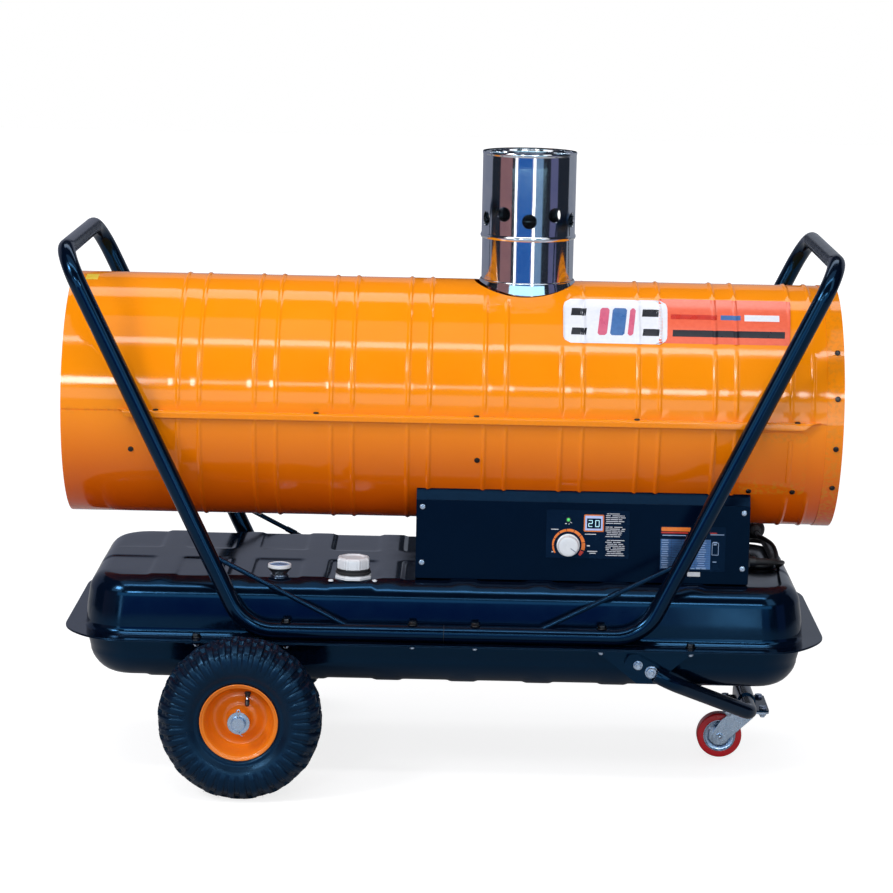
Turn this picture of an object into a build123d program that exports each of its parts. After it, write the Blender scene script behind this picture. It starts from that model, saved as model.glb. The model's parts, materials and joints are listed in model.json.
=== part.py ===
from build123d import *
from build123d.topology import SkipClean
import os
from math import asin, cos, degrees, pi, radians, sin, sqrt, tan

# An indirect-fired diesel heater on two wheels and a swivel caster, in millimetres.
# X runs along the drum from the hot-air outlet at -X to the air intake at +X.
# Y runs across it, with the control panel on the -Y side, and Z is up from the floor.
# The origin is on the floor under the middle of the heater.

# Drum casing
drum_x = 3.0
drum_z = 600.0
drum_radius = 197.0
drum_length = 1244.0
casing_wall = 1.2
joint_above_axis = 1.2
joint_arc = 2.0
lip_out = 9.5
lip_skirt = 11.0
lip_start = -530.0
lip_end = 587.0
lip_gap = 0.8
lip_screw_first = -470.0
lip_screw_pitch = 254.5
lip_screws = 5

# Beads pressed round the casing in pairs
bead_first = -418.5
bead_pitch = 121.75
bead_pairs = 9
bead_half_spacing = 17.0
bead_width = 9.0
bead_rise = 2.0
bead_sunk = 0.5
plain_pairs = 5
bead_stop = 32.6
bead_resume = 67.5
bead_end = 1.5
bead_from_lip = 2.0
bead_from_flue = 13.0

# End rings, intake guard and service cover
ring_wall = 1.2
ring_band = 27.0
ring_lip = 20.0
outlet_band = 26.0
outlet_roll = 3.0
guard_wire = 1.75
guard_rings = 7
guard_spokes = 8
guard_spoke = 2.2
guard_spoke_back = 2.0
guard_reach = 3.0
cover_left = 461.5
cover_length = 105.5
cover_top = -4.0
cover_bottom = -38.0
cover_corner = 12.0
cover_screw_inset = 2.2
cover_screws = (478.0, 548.0)
cover_bead_low = 8.0
cover_bead_high = 4.0

# Screws in the sheet metal
screw_head = 4.5
screw_head_height = 2.2
screw_round = 1.4
screw_shank = 1.9
screw_length = 7.0
screw_clearance = 0.2
end_screw_inset = 11.0
end_screw_angles = (-11.4, -32.6, 12.0, 34.0)
seam_screw_x = -511.0
seam_screw_angle = -18.8
middle_screw_x = 41.5
middle_screw_angle = -21.0

# Flue
flue_x = 118.0
flue_radius = 75.0
flue_wall = 1.0
pipe_bottom = 770.0
cup_bottom = 868.0
cup_lap = 18.0
cup_top = 1009.0
cup_clearance = 0.3
lap_clearance = 1.0
stop_relief = 1.0
cup_bead = 1.6
draught_hole = 12.0
draught_holes = 11
draught_hole_above = 33.0
draught_hole_step = 10.0
collar_height = 8.0
collar_flare = 2.0
collar_wall = 1.5
casing_hole_gap = 1.0

# Heat exchanger and combustion chamber
jacket_radius = 150.0
jacket_wall = 1.5
neck_top = 800.0
jacket_left = -430.0
jacket_right = 333.0
end_plate = 3.0
chamber_radius = 105.0
chamber_wall = 2.0
chamber_left = -380.0
foot_width = 30.0
foot_thickness = 3.0
foot_places = (-360.0, 260.0)
foot_angles = (-50.0, -130.0)

# Burner, motor, fan and pump
burner_flange = 75.0
burner_flange_thickness = 4.0
blast_tube = 45.0
blast_tube_wall = 2.0
blast_tube_depth = 60.0
nozzle_holder = 15.0
nozzle_holder_depth = 30.0
burner_housing = 62.0
burner_length = 100.0
electrode = 2.0
electrode_reach = 20.0
electrode_half_spacing = 7.5
motor_radius = 62.0
motor_left = 505.0
motor_length = 85.0
motor_round = 6.0
shaft_radius = 6.0
shaft_left = 455.0
shaft_stop = 2.0
shaft_end_gap = 0.5
running_clearance = 0.05
fan_left = 462.0
fan_width = 34.0
fan_hub = 25.0
fan_radius = 170.0
fan_blades = 6
blade_thickness = 2.0
blade_pitch = 30.0
blade_root = 20.0
blade_margin = 1.7
bracket_ring = 4.0
bracket_width = 24.0
bracket_arm = 6.0
bracket_angles = (90.0, 210.0, 330.0)
pump_radius = 26.0
pump_length = 20.0

# Pedestal with the controls, under the drum
pedestal_left = -54.0
pedestal_length = 536.0
pedestal_depth = 330.0
pedestal_face_top = 460.0
pedestal_strip_top = 477.0
pedestal_wall = 2.0
pedestal_rim = 6.0
pedestal_side_rim = 18.0
face_plate = 2.0
face_screw_side = 10.0
face_screw_top = 11.0
face_screw_bottom = 26.0
panel_x = 222.0
panel_z = 409.0
panel_width = 134.0
panel_height = 79.0
panel_thickness = 1.0
panel_corner = 4.0
knob_x = 191.0
knob_z = 391.0
knob_radius = 18.5
knob_height = 15.0
knob_skirt = 2.5
knob_round = 2.0
knob_gap = 0.3
knob_shaft = 3.0
knob_shaft_hole = 4.0
knob_shaft_length = 20.0
pointer_width = 3.0
pointer_depth = 1.0
thermostat_size = 44.0
thermostat_depth = 32.0
thermostat_back = 4.0
plate_x = 391.0
plate_z = 390.0
plate_width = 106.0
plate_height = 74.0
plate_thickness = 0.8
plate_corner = 3.0
transformer_x = 380.0
transformer_size = (90.0, 66.0, 60.0)
transformer_corner = 6.0
board_x = 80.0
board_size = (150.0, 100.0, 1.6)
board_stand = 8.0
board_post = 3.0
board_parts = (
    (-45.0, 20.0, 30.0, 25.0, 22.0),
    (10.0, 25.0, 34.0, 28.0, 16.0),
    (50.0, -20.0, 20.0, 30.0, 18.0),
)

# Tank
frame_x = -3.0
tank_seam = 238.4
tank_sheet = 1.6
tank_length = 1162.0
tank_width = 416.0
tank_corner = 70.0
tank_top = 329.0
tank_bottom = 162.0
tank_top_taper = 4.0
tank_bottom_taper = 7.0
tank_top_fillet = 14.0
tank_bottom_fillet = 40.0
flange_length = 1228.0
flange_width = 504.0
flange_corner = 110.0
rib_first = -455.0
rib_pitch = 121.6
ribs = 8
rib_width = 50.0
rib_rise = 2.5
rib_sunk = 0.5
rib_inset = 16.0

# Filler, gauge, drain and fuel line
filler_x = -148.0
filler_y = -160.0
filler_radius = 24.0
filler_wall = 2.0
filler_height = 28.0
filler_depth = 18.0
filler_base = 33.0
filler_base_thickness = 2.5
cap_radius = 28.0
cap_height = 18.0
cap_wall = 3.0
cap_ribs = 24
cap_rib = 1.2
cap_round = 2.0
cap_rib_low = 2.0
cap_rib_high = 3.0
cap_gap = 0.6
gasket_thickness = 2.0
gasket_band = 4.0
gasket_gap = 0.3
strainer_depth = 78.0
strainer_wall = 0.8
strainer_gap = 0.4
gauge_x = -267.0
gauge_y = -160.0
gauge_radius = 19.0
gauge_height = 17.0
gauge_disc = 4.0
gauge_stem = 6.0
gauge_stem_length = 34.0
gauge_rim = 1.0
float_pin = 1.5
float_pin_inset = 1.0
float_arm_length = 95.0
float_rod = 1.5
float_eye = 4.0
float_radius = 14.0
float_length = 46.0
fork_gap = 5.0
fork_slot_above = 12.0
float_eye_gap = 0.5
drain_x = -30.0
drain_radius = 7.0
drain_shank = 8.0
drain_head = 11.0
drain_head_height = 8.0
line_radius = 3.0
line_x = 440.0
line_gap = 1.0
line_wall = 1.0
line_bend = 18.0
line_below_drum = 14.0
line_pickup = 178.0

# Tube frame
tube_radius = 14.0
tube_wall = 2.0
tube_y = 226.0
handle_top = 855.0
handle_reach = 608.0
handle_foot = 318.0
handle_top_bend = 60.0
handle_foot_bend = 75.0
bolt_radius = 4.0
bolt_hole_gap = 0.3
bolt_head = 6.5
bolt_head_height = 5.3
bolt_tail = 3.0
inner_bolts = (50.0, 252.0)
bracket_bolt = 395.0
brace_radius = 4.0
brace_foot = 134.0
brace_height = 124.0

# Brackets under the flange, axle and wheels
leaf_thickness = 3.0
leaf_outer = 248.0
leaf_inner = 216.0
bracket_end = 16.0
axle_radius = 10.0
axle_z = 130.0
axle_offset = 5.0
axle_boss = 22.0
tyre_radius = 130.0
tyre_width = 84.0
wheel_y = 305.0
rim_radius = 60.5
rim_width = 58.0
rim_wall = 2.5
rim_dish = 12.0
rim_seat = 5.0
tyre_bead_gap = 0.2
tyre_bead_rise = 1.0
tyre_shoulder_out = 26.0
tyre_shoulder_radius = 128.0
tyre_wall_radius = 96.0
hub_radius = 17.0
hub_inner = 256.0
hub_outer = 336.0
washer_radius = 18.0
washer_thickness = 3.0
washer_gap = 0.4
axle_end = 347.0
pin_radius = 1.6
pin_low = 16.0
pin_high = 14.0
spacer_radius = 14.0

# Caster and its leg
leg_radius = 12.5
leg_wall = 2.0
leg_start_x = 296.0
leg_start_z = 216.0
leg_knee_x = 362.0
leg_knee_z = 183.0
leg_clear = 0.5
leg_cross_half = 112.0
leg_cross_z = 105.0
leg_bend = 30.0
leg_flat = 10.0
leg_flat_height = 28.0
leg_flat_corner = 11.0
leg_flat_length = 45.7
leg_flat_end = 7.0
leg_bore_start = 30.0
leg_bolt_first = 14.0
leg_bolt_second = 38.0
leg_bracket_below = 6.0
leg_bracket_start = 12.0
leg_bracket_end = 26.0
leg_bracket_tail = 79.5
leg_bracket_tail_drop = 1.8
caster_x = 502.0
caster_trail = 40.0
caster_wheel_radius = 37.5
caster_tread = 10.5
caster_wheel_width = 25.0
caster_hub_width = 22.0
caster_axle_radius = 4.0
mount_length = 76.0
mount_width = 104.0
mount_thickness = 3.0
saddle_corner = 6.0
mount_corner = 8.0
mount_bolt_x = 56.0
mount_bolt_y = 78.0
mount_bolt_radius = 4.0
saddle_wall = 3.0
saddle_width = 84.0
kingpin_radius = 6.0
kingpin_above = 0.5
crown_top = 83.0
crown_thickness = 4.0
crown_radius = 30.0
race_radius = 24.0
race_gap = 0.4
fork_inner = 14.0
fork_wall = 3.0
fork_end = 11.0
fork_back = 24.0
fork_front = 18.0
caster_nut = 4.0
caster_axle_tail = 2.0
hub_groove = 4.0
hub_boss = 10.0
tread_round = 3.0

# Power cord, put away in an oval coil on the tank beside the pedestal
cord_diameter = 6.8
gland_y = -118.0
gland_z = 360.0
gland_length = 16.0
gland_thread = 8.0
gland_nut = 12.0
gland_nut_length = 6.0
gland_inside = 12.0
gland_locknut = 5.0
gland_bore = 3.7
gland_mouth = 3.0
coil_gap = 0.6
coil_from_pedestal = 4.0
coil_outer_bend = 28.6
coil_run = 160.0
coil_near_y = 0.0
coil_half_turns = 3
gap_step = 4.0
gap_skip = 40.0
cord_floor_gap = 0.1
plug_radius = 17.0
plug_body = 36.0
plug_boot = 26.0
plug_boot_radius = 6.0
plug_boot_end = 10.0
plug_boot_lap = 2.0
plug_round = 4.0
plug_gap = 0.2
plug_pin_radius = 2.4
plug_pin_length = 19.0
plug_pin_half_spacing = 9.5
plug_y = 136.0
plug_x = 524.0

# How far a cut runs past the faces that it opens
over = 1.0

drum_left = -drum_length / 2
drum_right = drum_length / 2
drum_end = drum_x + drum_right
joint_z = drum_z + joint_above_axis
wall_radius = drum_radius - casing_wall
drum_axis = Axis((drum_x, 0, drum_z), (1, 0, 0))
pedestal_bottom = tank_top + rib_rise
pedestal_face = -pedestal_depth / 2
pedestal_x0 = drum_x + pedestal_left
pedestal_x1 = pedestal_x0 + pedestal_length
strip_half = sqrt(drum_radius ** 2 - (drum_z - pedestal_strip_top) ** 2)
strip_angle = degrees(asin((drum_z - pedestal_strip_top) / drum_radius))
face_front = pedestal_face - face_plate
flange_top = tank_seam + tank_sheet
flange_bottom = tank_seam - tank_sheet
tube_z = flange_top + tube_radius
leaf_bottom = flange_bottom - leaf_thickness
bolt_hole = bolt_radius + bolt_hole_gap
bracket_middle = (inner_bolts[1] + bracket_bolt) / 2
axle_x = frame_x - bracket_middle + axle_offset
shaft_right = motor_left + motor_length + pump_length - shaft_stop
pedestal_floor = pedestal_bottom + pedestal_wall


def block(x0, x1, y0, y1, z0, z1):
    """A box between two corners."""
    middle = Pos((x0 + x1) / 2, (y0 + y1) / 2, (z0 + z1) / 2)
    return middle * Box(abs(x1 - x0), abs(y1 - y0), abs(z1 - z0))


def bar(start, end, radius, bore=0.0):
    """A round bar or tube from one point to another."""
    run = Vector(*end) - Vector(*start)
    section = Circle(radius)
    if bore:
        section -= Circle(bore)
    return extrude(Plane(origin=start, z_dir=run) * section, run.length)


def hexagon(start, end, radius):
    """A hexagonal prism; the radius is to its flats."""
    run = Vector(*end) - Vector(*start)
    section = RegularPolygon(radius, 6, major_radius=False)
    return extrude(Plane(origin=start, z_dir=run) * section, run.length)


def swept(path, radius, bore=0.0):
    """A round bar or tube along a path."""
    plane = Plane(origin=path @ 0, z_dir=path % 0)
    solid = sweep(plane * Circle(radius), path=path)
    if bore:
        solid -= sweep(plane * Circle(bore), path=path)
    return solid


def strip(x0, x1, inner, outer):
    """A rectangle in the XZ plane above the drum's axis, to be turned round the drum."""
    middle = Pos(drum_x + (x0 + x1) / 2, drum_z + (inner + outer) / 2)
    return Plane.XZ * middle * Rectangle(x1 - x0, outer - inner)


def around_drum(profile, start, end):
    """Turn a profile round the drum between two angles, from the near side up over the top."""
    return revolve(profile, axis=drum_axis, revolution_arc=end - start).rotate(drum_axis, 90 - end)


def on_drum(x, angle, radius=drum_radius):
    """The plane that lies on the drum at this place, with its normal outwards."""
    out = Vector(0, -cos(radians(angle)), sin(radians(angle)))
    middle = Vector(drum_x + x, 0, drum_z)
    return Plane(origin=middle + out * radius, x_dir=(1, 0, 0), z_dir=out)


def casing_sheet(start, end):
    """The casing's sheet between two angles, as one strip between bead edges after another.

    The strips stay apart in the solid, so that each one meshes evenly round the drum.
    """
    stops = [drum_left, drum_right - ring_wall]
    for pair, x in bead_positions():
        stops += [x - bead_width / 2, x + bead_width / 2]
    stops.sort()
    outer = [Vector(drum_x + x, 0, drum_z + drum_radius) for x in stops]
    inner = [Vector(drum_x + x, 0, drum_z + wall_radius) for x in reversed(stops)]
    sheet = Face(Wire.make_polygon(outer + inner, close=True))
    solid = revolve(sheet, axis=drum_axis, revolution_arc=end - start, clean=False)
    return solid.rotate(drum_axis, 90 - end)


def bead_positions():
    """Where the beads lie along the drum, with the number of their pair."""
    for pair in range(bead_pairs):
        middle = bead_first + bead_pitch * pair
        for side in (-1, 1):
            yield pair, middle + side * bead_half_spacing


def bead(x, start, end, base=drum_radius):
    """One pressed bead between two angles."""
    z = drum_z + base - bead_sunk
    left = Vector(drum_x + x - bead_width / 2, 0, z)
    right = Vector(drum_x + x + bead_width / 2, 0, z)
    crest = Vector(drum_x + x, 0, z + bead_sunk + bead_rise)
    outline = Wire([ThreePointArc(left, crest, right), Line(right, left)])
    return around_drum(Face(outline), start, end)


def screw(plane):
    """A pan-head screw that stands on a plane."""
    head = extrude(plane * Circle(screw_head), screw_head_height)
    head = fillet(head.faces().sort_by(Axis(plane.origin, plane.z_dir))[-1].edges(), screw_round)
    return head + extrude(plane * Circle(screw_shank), -screw_length)


def screw_hole(plane):
    """The hole for a screw that stands on a plane."""
    return extrude(plane * Circle(screw_shank + screw_clearance), screw_length, both=True)


def ring_screw_planes():
    """Screws through the intake ring's band, on both sides."""
    x = drum_right - end_screw_inset
    for angle in end_screw_angles:
        yield on_drum(x, angle, drum_radius + ring_wall)
        yield on_drum(x, 180 - angle, drum_radius + ring_wall)


def shell_screw_planes():
    """Screws straight into the lower casing."""
    for x, angle in ((seam_screw_x, seam_screw_angle), (middle_screw_x, middle_screw_angle)):
        yield on_drum(x, angle)
        yield on_drum(x, 180 - angle)


def cover_screw_planes():
    """Screws along the lower edge of the service cover."""
    for x in cover_screws:
        yield on_drum(x, cover_bottom + cover_screw_inset, drum_radius + casing_wall)


def lip_screw_planes():
    """Upright screws through the two lips, on both sides."""
    for side in (-1, 1):
        y = side * (drum_radius + lip_out / 2)
        for number in range(lip_screws):
            x = drum_x + lip_screw_first + number * lip_screw_pitch
            yield Plane(origin=(x, y, joint_z + casing_wall), z_dir=(0, 0, 1))


def face_screw_planes():
    """The four screws of the pedestal's face plate."""
    for x in (pedestal_x0 + face_screw_side, pedestal_x1 - face_screw_side):
        for z in (pedestal_face_top - face_screw_top, pedestal_bottom + face_screw_bottom):
            yield Plane(origin=(x, face_front, z), x_dir=(1, 0, 0), z_dir=(0, -1, 0))


def flue_cylinder(radius, z0, z1):
    """An upright cylinder on the flue's axis."""
    x = drum_x + flue_x
    return bar((x, 0, z0), (x, 0, z1), radius)


def upper_beads():
    """The upper casing's beads, which the plain band on the panel side interrupts."""
    for pair, x in bead_positions():
        if pair < plain_pairs:
            yield bead(x, bead_from_lip, 180 - bead_from_lip)
        else:
            yield bead(x, bead_from_lip, bead_stop)
            yield bead(x, bead_resume, 180 - bead_resume)
            yield bead(x, 180 - bead_stop, 180 - bead_from_lip)


def upper_casing():
    """The upper half of the drum, with its beads, its lips and the hole for the flue."""
    top = drum_z + drum_radius + bead_rise + over
    clear = flue_cylinder(flue_radius + collar_flare + bead_from_flue, drum_z, top)
    reach = drum_radius + bead_rise + over
    with SkipClean():
        shell = casing_sheet(0, 180)
        shell += [piece - clear for piece in upper_beads()]
        shell -= block(drum_x + drum_left, drum_end, -reach, reach, drum_z - over, joint_z)
        shell -= flue_cylinder(flue_radius + casing_hole_gap, drum_z, top)
        x0 = drum_x + lip_start
        x1 = drum_x + lip_end
        edge = drum_radius + lip_out
        high = joint_z + casing_wall
        for side in (-1, 1):
            shell += block(x0, x1, side * wall_radius, side * edge, joint_z, high)
            inside = side * (edge - casing_wall)
            shell += block(x0, x1, inside, side * edge, joint_z - lip_skirt, high)
        for group in (lip_screw_planes, ring_screw_planes):
            for plane in group():
                shell -= screw_hole(plane)
    return shell


def lower_beads():
    """The lower casing's beads, left out where the pedestal and the service cover lie."""
    stop = bead_end + strip_angle
    low = strip_angle - bead_end
    for pair, x in bead_positions():
        if cover_left < x < cover_left + cover_length:
            yield bead(x, -180 + bead_from_lip, -stop)
        elif pedestal_left - bead_width < x < pedestal_left + pedestal_length + bead_width:
            yield bead(x, -low, -bead_from_lip)
            yield bead(x, -180 + bead_from_lip, -180 + low)
        else:
            yield bead(x, -180 + bead_from_lip, -bead_from_lip)


def lower_casing():
    """The lower half of the drum, plain where the pedestal carries it."""
    x0 = drum_x + lip_start
    x1 = drum_x + lip_end
    edge = drum_radius + lip_out - casing_wall - lip_gap
    high = joint_z + 2 * lip_out
    reach = drum_radius + bead_rise + over
    with SkipClean():
        shell = casing_sheet(-180 - joint_arc, joint_arc)
        shell += list(lower_beads())
        shell -= block(drum_x + drum_left, drum_end, -reach, reach, joint_z, high)
        for side in (-1, 1):
            shell += block(x0, x1, side * wall_radius, side * edge, joint_z - casing_wall, joint_z)
        for group in (lip_screw_planes, ring_screw_planes, shell_screw_planes, cover_screw_planes):
            for plane in group():
                shell -= screw_hole(plane)
        shell -= line_hole()
    return shell


def line_hole():
    """The way of the fuel line through whatever it passes."""
    x = drum_x + line_x
    return bar((x, 0, tank_top - 20), (x, 0, drum_z - drum_radius + 20), line_radius + line_gap)


def outlet_ring():
    """The rolled ring inside the hot-air outlet."""
    sheet = strip(drum_left, drum_left + outlet_band, wall_radius - ring_wall, wall_radius)
    band = around_drum(sheet, 0, 360)
    inner = wall_radius - ring_lip
    face = around_drum(strip(drum_left, drum_left + ring_wall, inner, wall_radius), 0, 360)
    middle = Pos(drum_x + drum_left + outlet_roll, drum_z + inner)
    roll = revolve(Plane.XZ * middle * Circle(outlet_roll), axis=drum_axis)
    return band + face + roll


def intake_ring():
    """The band over the intake end, with its turned-in face."""
    outer = drum_radius + ring_wall
    band = around_drum(strip(drum_right - ring_band, drum_right, drum_radius, outer), 0, 360)
    face = around_drum(strip(drum_right - ring_wall, drum_right, drum_radius - ring_lip, outer), 0, 360)
    solid = band + face
    for plane in ring_screw_planes():
        solid -= screw_hole(plane)
    return solid


def intake_guard():
    """The wire guard behind the intake ring's face."""
    x = drum_end - ring_wall - guard_wire
    outermost = drum_radius - ring_lip + guard_reach
    step = outermost / guard_rings
    guard = Plane.YZ.offset(x) * Pos(0, drum_z) * Circle(step / 2)
    guard = extrude(guard, guard_wire, both=True)
    for number in range(1, guard_rings + 1):
        wire = Plane.XZ * Pos(x, drum_z + step * number) * Circle(guard_wire)
        guard += revolve(wire, axis=drum_axis)
    for number in range(guard_spokes):
        angle = 2 * pi * number / guard_spokes
        tip = (x - guard_spoke_back, cos(angle) * outermost, drum_z + sin(angle) * outermost)
        guard += bar((x - guard_spoke_back, 0, drum_z), tip, guard_spoke)
    return guard


def service_cover():
    """The cover over the pump side of the lower casing."""
    sheet = strip(cover_left, cover_left + cover_length, drum_radius, drum_radius + casing_wall)
    cover = around_drum(sheet, cover_bottom, cover_top)
    corners = [edge for edge in cover.edges() if abs(edge.length - casing_wall) < 0.01]
    cover = fillet(corners, cover_corner)
    for pair, x in bead_positions():
        if cover_left < x < cover_left + cover_length:
            start = cover_bottom + cover_bead_low
            end = cover_top - cover_bead_high
            cover += bead(x, start, end, drum_radius + casing_wall)
    for plane in cover_screw_planes():
        cover -= screw_hole(plane)
    return cover


def sheet_screws():
    """Every pan-head screw in the sheet metal."""
    shell_groups = (lip_screw_planes, ring_screw_planes, shell_screw_planes, cover_screw_planes)
    groups = (*shell_groups, face_screw_planes)
    return Compound(children=[screw(plane) for group in groups for plane in group()])


def flue_collar():
    """The narrow skirt round the foot of the flue, cut to lie on the drum."""
    top = drum_z + drum_radius + collar_height / 2
    saddle_drop = drum_radius - sqrt(drum_radius ** 2 - (flue_radius + collar_flare) ** 2)
    bottom = top - collar_height - saddle_drop
    inner = flue_radius + lap_clearance
    x = drum_x + flue_x
    points = [
        (x + inner, top), (x + inner + collar_wall, top),
        (x + inner + collar_wall + collar_flare, bottom), (x + inner, bottom),
    ]
    outline = Plane.XZ * make_face(Polyline(*points, close=True))
    solid = revolve(outline, axis=Axis((x, 0, 0), (0, 0, 1)))
    reach = drum_radius
    return solid - bar((x - reach, 0, drum_z), (x + reach, 0, drum_z), drum_radius)


def chimney_pipe():
    """The straight lower flue pipe."""
    x = drum_x + flue_x
    return bar((x, 0, pipe_bottom), (x, 0, cup_bottom + cup_lap), flue_radius, flue_radius - flue_wall)


def chimney_cup():
    """The cup on top of the flue, with its ring of draught holes at two heights in turn."""
    x = drum_x + flue_x
    inner = flue_radius + cup_clearance
    outer = inner + flue_wall
    stop = cup_bottom + cup_lap
    wall_start = stop + flue_wall + stop_relief
    cup = bar((x, 0, wall_start), (x, 0, cup_top), outer, inner)
    lap = flue_radius + lap_clearance
    lap_outer = lap + flue_wall
    cup += bar((x, 0, cup_bottom), (x, 0, wall_start), lap_outer, lap)
    lower = Plane.XZ * Pos(x + lap_outer, cup_bottom + cup_bead) * Circle(cup_bead)
    cup += revolve(lower, axis=Axis((x, 0, 0), (0, 0, 1)))
    cup -= flue_cylinder(lap, cup_bottom - cup_bead, wall_start)
    step = 360 / draught_holes
    for number in range(draught_holes):
        angle = radians(-90 + number * step)
        way = Vector(cos(angle), sin(angle), 0)
        raised = min(number, draught_holes - number) % 2
        middle = Vector(x, 0, cup_bottom + draught_hole_above + raised * draught_hole_step)
        cup -= bar(tuple(middle), tuple(middle + way * (outer + over)), draught_hole)
    return cup + bar((x, 0, stop), (x, 0, stop + flue_wall), lap_outer, flue_radius - flue_wall)


def heat_exchanger():
    """The closed jacket round the combustion chamber, with its flue neck and feet."""
    x0 = drum_x + jacket_left
    x1 = drum_x + jacket_right
    jacket = bar((x0, 0, drum_z), (x1, 0, drum_z), jacket_radius, jacket_radius - jacket_wall)
    front = bar((x0 - end_plate, 0, drum_z), (x0, 0, drum_z), jacket_radius)
    back = bar((x1, 0, drum_z), (x1 + end_plate, 0, drum_z), jacket_radius, blast_tube)
    x = drum_x + flue_x
    neck = flue_radius - flue_wall
    neck_bore = flue_cylinder(neck - flue_wall, drum_z, neck_top)
    neck_pipe = flue_cylinder(neck, drum_z, neck_top) - neck_bore
    reach = flue_radius + over
    neck_pipe -= bar((x - reach, 0, drum_z), (x + reach, 0, drum_z), jacket_radius - jacket_wall)
    solid = jacket - neck_bore
    solid += neck_pipe + front + back
    for place in foot_places:
        for angle in foot_angles:
            base = on_drum(place, angle, jacket_radius - jacket_wall / 2)
            reach = wall_radius - jacket_radius + jacket_wall / 2
            foot = extrude(base * Rectangle(foot_width, foot_thickness), reach + over)
            solid += foot & bar((x0, 0, drum_z), (x1, 0, drum_z), wall_radius)
    return solid


def combustion_chamber():
    """The inner cylinder that the burner fires into."""
    x0 = drum_x + chamber_left
    x1 = drum_x + jacket_right
    wall = bar((x0, 0, drum_z), (x1, 0, drum_z), chamber_radius, chamber_radius - chamber_wall)
    return wall + bar((x0 - chamber_wall, 0, drum_z), (x0, 0, drum_z), chamber_radius)


def burner_head():
    """Flange, blast tube, nozzle and air housing of the burner."""
    x = drum_x + jacket_right + end_plate
    flange = bar((x, 0, drum_z), (x + burner_flange_thickness, 0, drum_z), burner_flange)
    housing = bar((x, 0, drum_z), (x + burner_length, 0, drum_z), burner_housing)
    bore = blast_tube - blast_tube_wall
    throat = bar((x - blast_tube_depth, 0, drum_z), (x, 0, drum_z), blast_tube, bore)
    holder = bar((x - nozzle_holder_depth, 0, drum_z), (x, 0, drum_z), nozzle_holder)
    solid = flange + housing + throat + holder
    tip = x - nozzle_holder_depth - electrode_reach
    for side in (-1, 1):
        y = side * electrode_half_spacing
        solid += bar((tip, y, drum_z), (x, y, drum_z), electrode)
    return solid


def motor_body():
    """The fan motor, with its bore for the shaft."""
    x = drum_x + motor_left
    bore = shaft_radius + running_clearance
    body = bar((x, 0, drum_z), (x + motor_length, 0, drum_z), motor_radius, bore)
    ends = [edge for edge in body.edges() if abs(edge.length - 2 * pi * motor_radius) < 0.1]
    return fillet(ends, motor_round)


def motor_bracket():
    """The ring round the motor, and the three arms that hold it in the casing."""
    middle = drum_x + motor_left + motor_length / 2
    x0 = middle - bracket_width / 2
    x1 = middle + bracket_width / 2
    solid = bar((x0, 0, drum_z), (x1, 0, drum_z), motor_radius + bracket_ring)
    for angle in bracket_angles:
        base = on_drum(middle - drum_x, angle, 0)
        solid += extrude(base * Rectangle(bracket_width, bracket_arm), drum_radius)
    solid &= bar((x0, 0, drum_z), (x1, 0, drum_z), wall_radius)
    return solid - bar((x0 - over, 0, drum_z), (x1 + over, 0, drum_z), motor_radius)


def fuel_pump():
    """The pump on the back of the motor."""
    x = drum_x + motor_left + motor_length
    body = bar((x, 0, drum_z), (x + pump_length, 0, drum_z), pump_radius)
    end = drum_x + shaft_right + shaft_end_gap
    return body - bar((x - over, 0, drum_z), (end, 0, drum_z), shaft_radius + running_clearance)


def fan_shaft():
    """The shaft that the motor turns, with the fan at one end and the pump at the other."""
    return bar((drum_x + shaft_left, 0, drum_z), (drum_x + shaft_right, 0, drum_z), shaft_radius)


def fan_impeller():
    """The axial fan."""
    x0 = drum_x + fan_left
    x1 = x0 + fan_width
    middle = (x0 + x1) / 2
    solid = bar((x0, 0, drum_z), (x1, 0, drum_z), fan_hub)
    chord = (fan_width - 2 * blade_margin) / sin(radians(blade_pitch))
    for number in range(fan_blades):
        base = on_drum(middle - drum_x, 360 * number / fan_blades, blade_root)
        section = base * Rot(0, 0, 90 - blade_pitch) * Rectangle(chord, blade_thickness)
        solid += extrude(section, fan_radius - blade_root)
    solid &= bar((x0, 0, drum_z), (x1, 0, drum_z), fan_radius)
    return solid - bar((x0 - over, 0, drum_z), (x1 + over, 0, drum_z), shaft_radius)


def pedestal_outline(inset):
    """The pedestal's cross-section, drawn smaller by an inset, as a solid cut to the drum."""
    half = pedestal_depth / 2 - inset
    strip = strip_half - inset
    points = [
        (-half, pedestal_bottom + inset), (-half, pedestal_face_top), (-strip, pedestal_strip_top),
        (strip, pedestal_strip_top), (half, pedestal_face_top), (half, pedestal_bottom + inset),
    ]
    outline = Plane.YZ.offset(pedestal_x0 + inset) * make_face(Polyline(*points, close=True))
    solid = extrude(outline, pedestal_length - 2 * inset)
    x0 = pedestal_x0 - over
    x1 = pedestal_x1 + over
    return solid - bar((x0, 0, drum_z), (x1, 0, drum_z), drum_radius + inset)


def pedestal():
    """The sheet housing that carries the drum and holds the controls."""
    solid = pedestal_outline(0) - pedestal_outline(pedestal_wall)
    z0 = pedestal_bottom + pedestal_rim
    z1 = pedestal_face_top - pedestal_rim
    x0 = pedestal_x0 + pedestal_side_rim
    x1 = pedestal_x1 - pedestal_side_rim
    solid -= block(x0, x1, pedestal_face - over, pedestal_face + pedestal_wall + over, z0, z1)
    x0 = pedestal_x1 - pedestal_wall - over
    x1 = pedestal_x1 + over
    solid -= bar((x0, gland_y, gland_z), (x1, gland_y, gland_z), gland_thread)
    for plane in face_screw_planes():
        solid -= screw_hole(plane)
    return solid - line_hole()


def rounded_plate(x, z, width, height, corner, front, thickness):
    """A flat plate on the panel side, with its front face at a given Y."""
    plane = Plane(origin=(x, front, z), x_dir=(1, 0, 0), z_dir=(0, 1, 0))
    return extrude(plane * RectangleRounded(width, height, corner), thickness)


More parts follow.
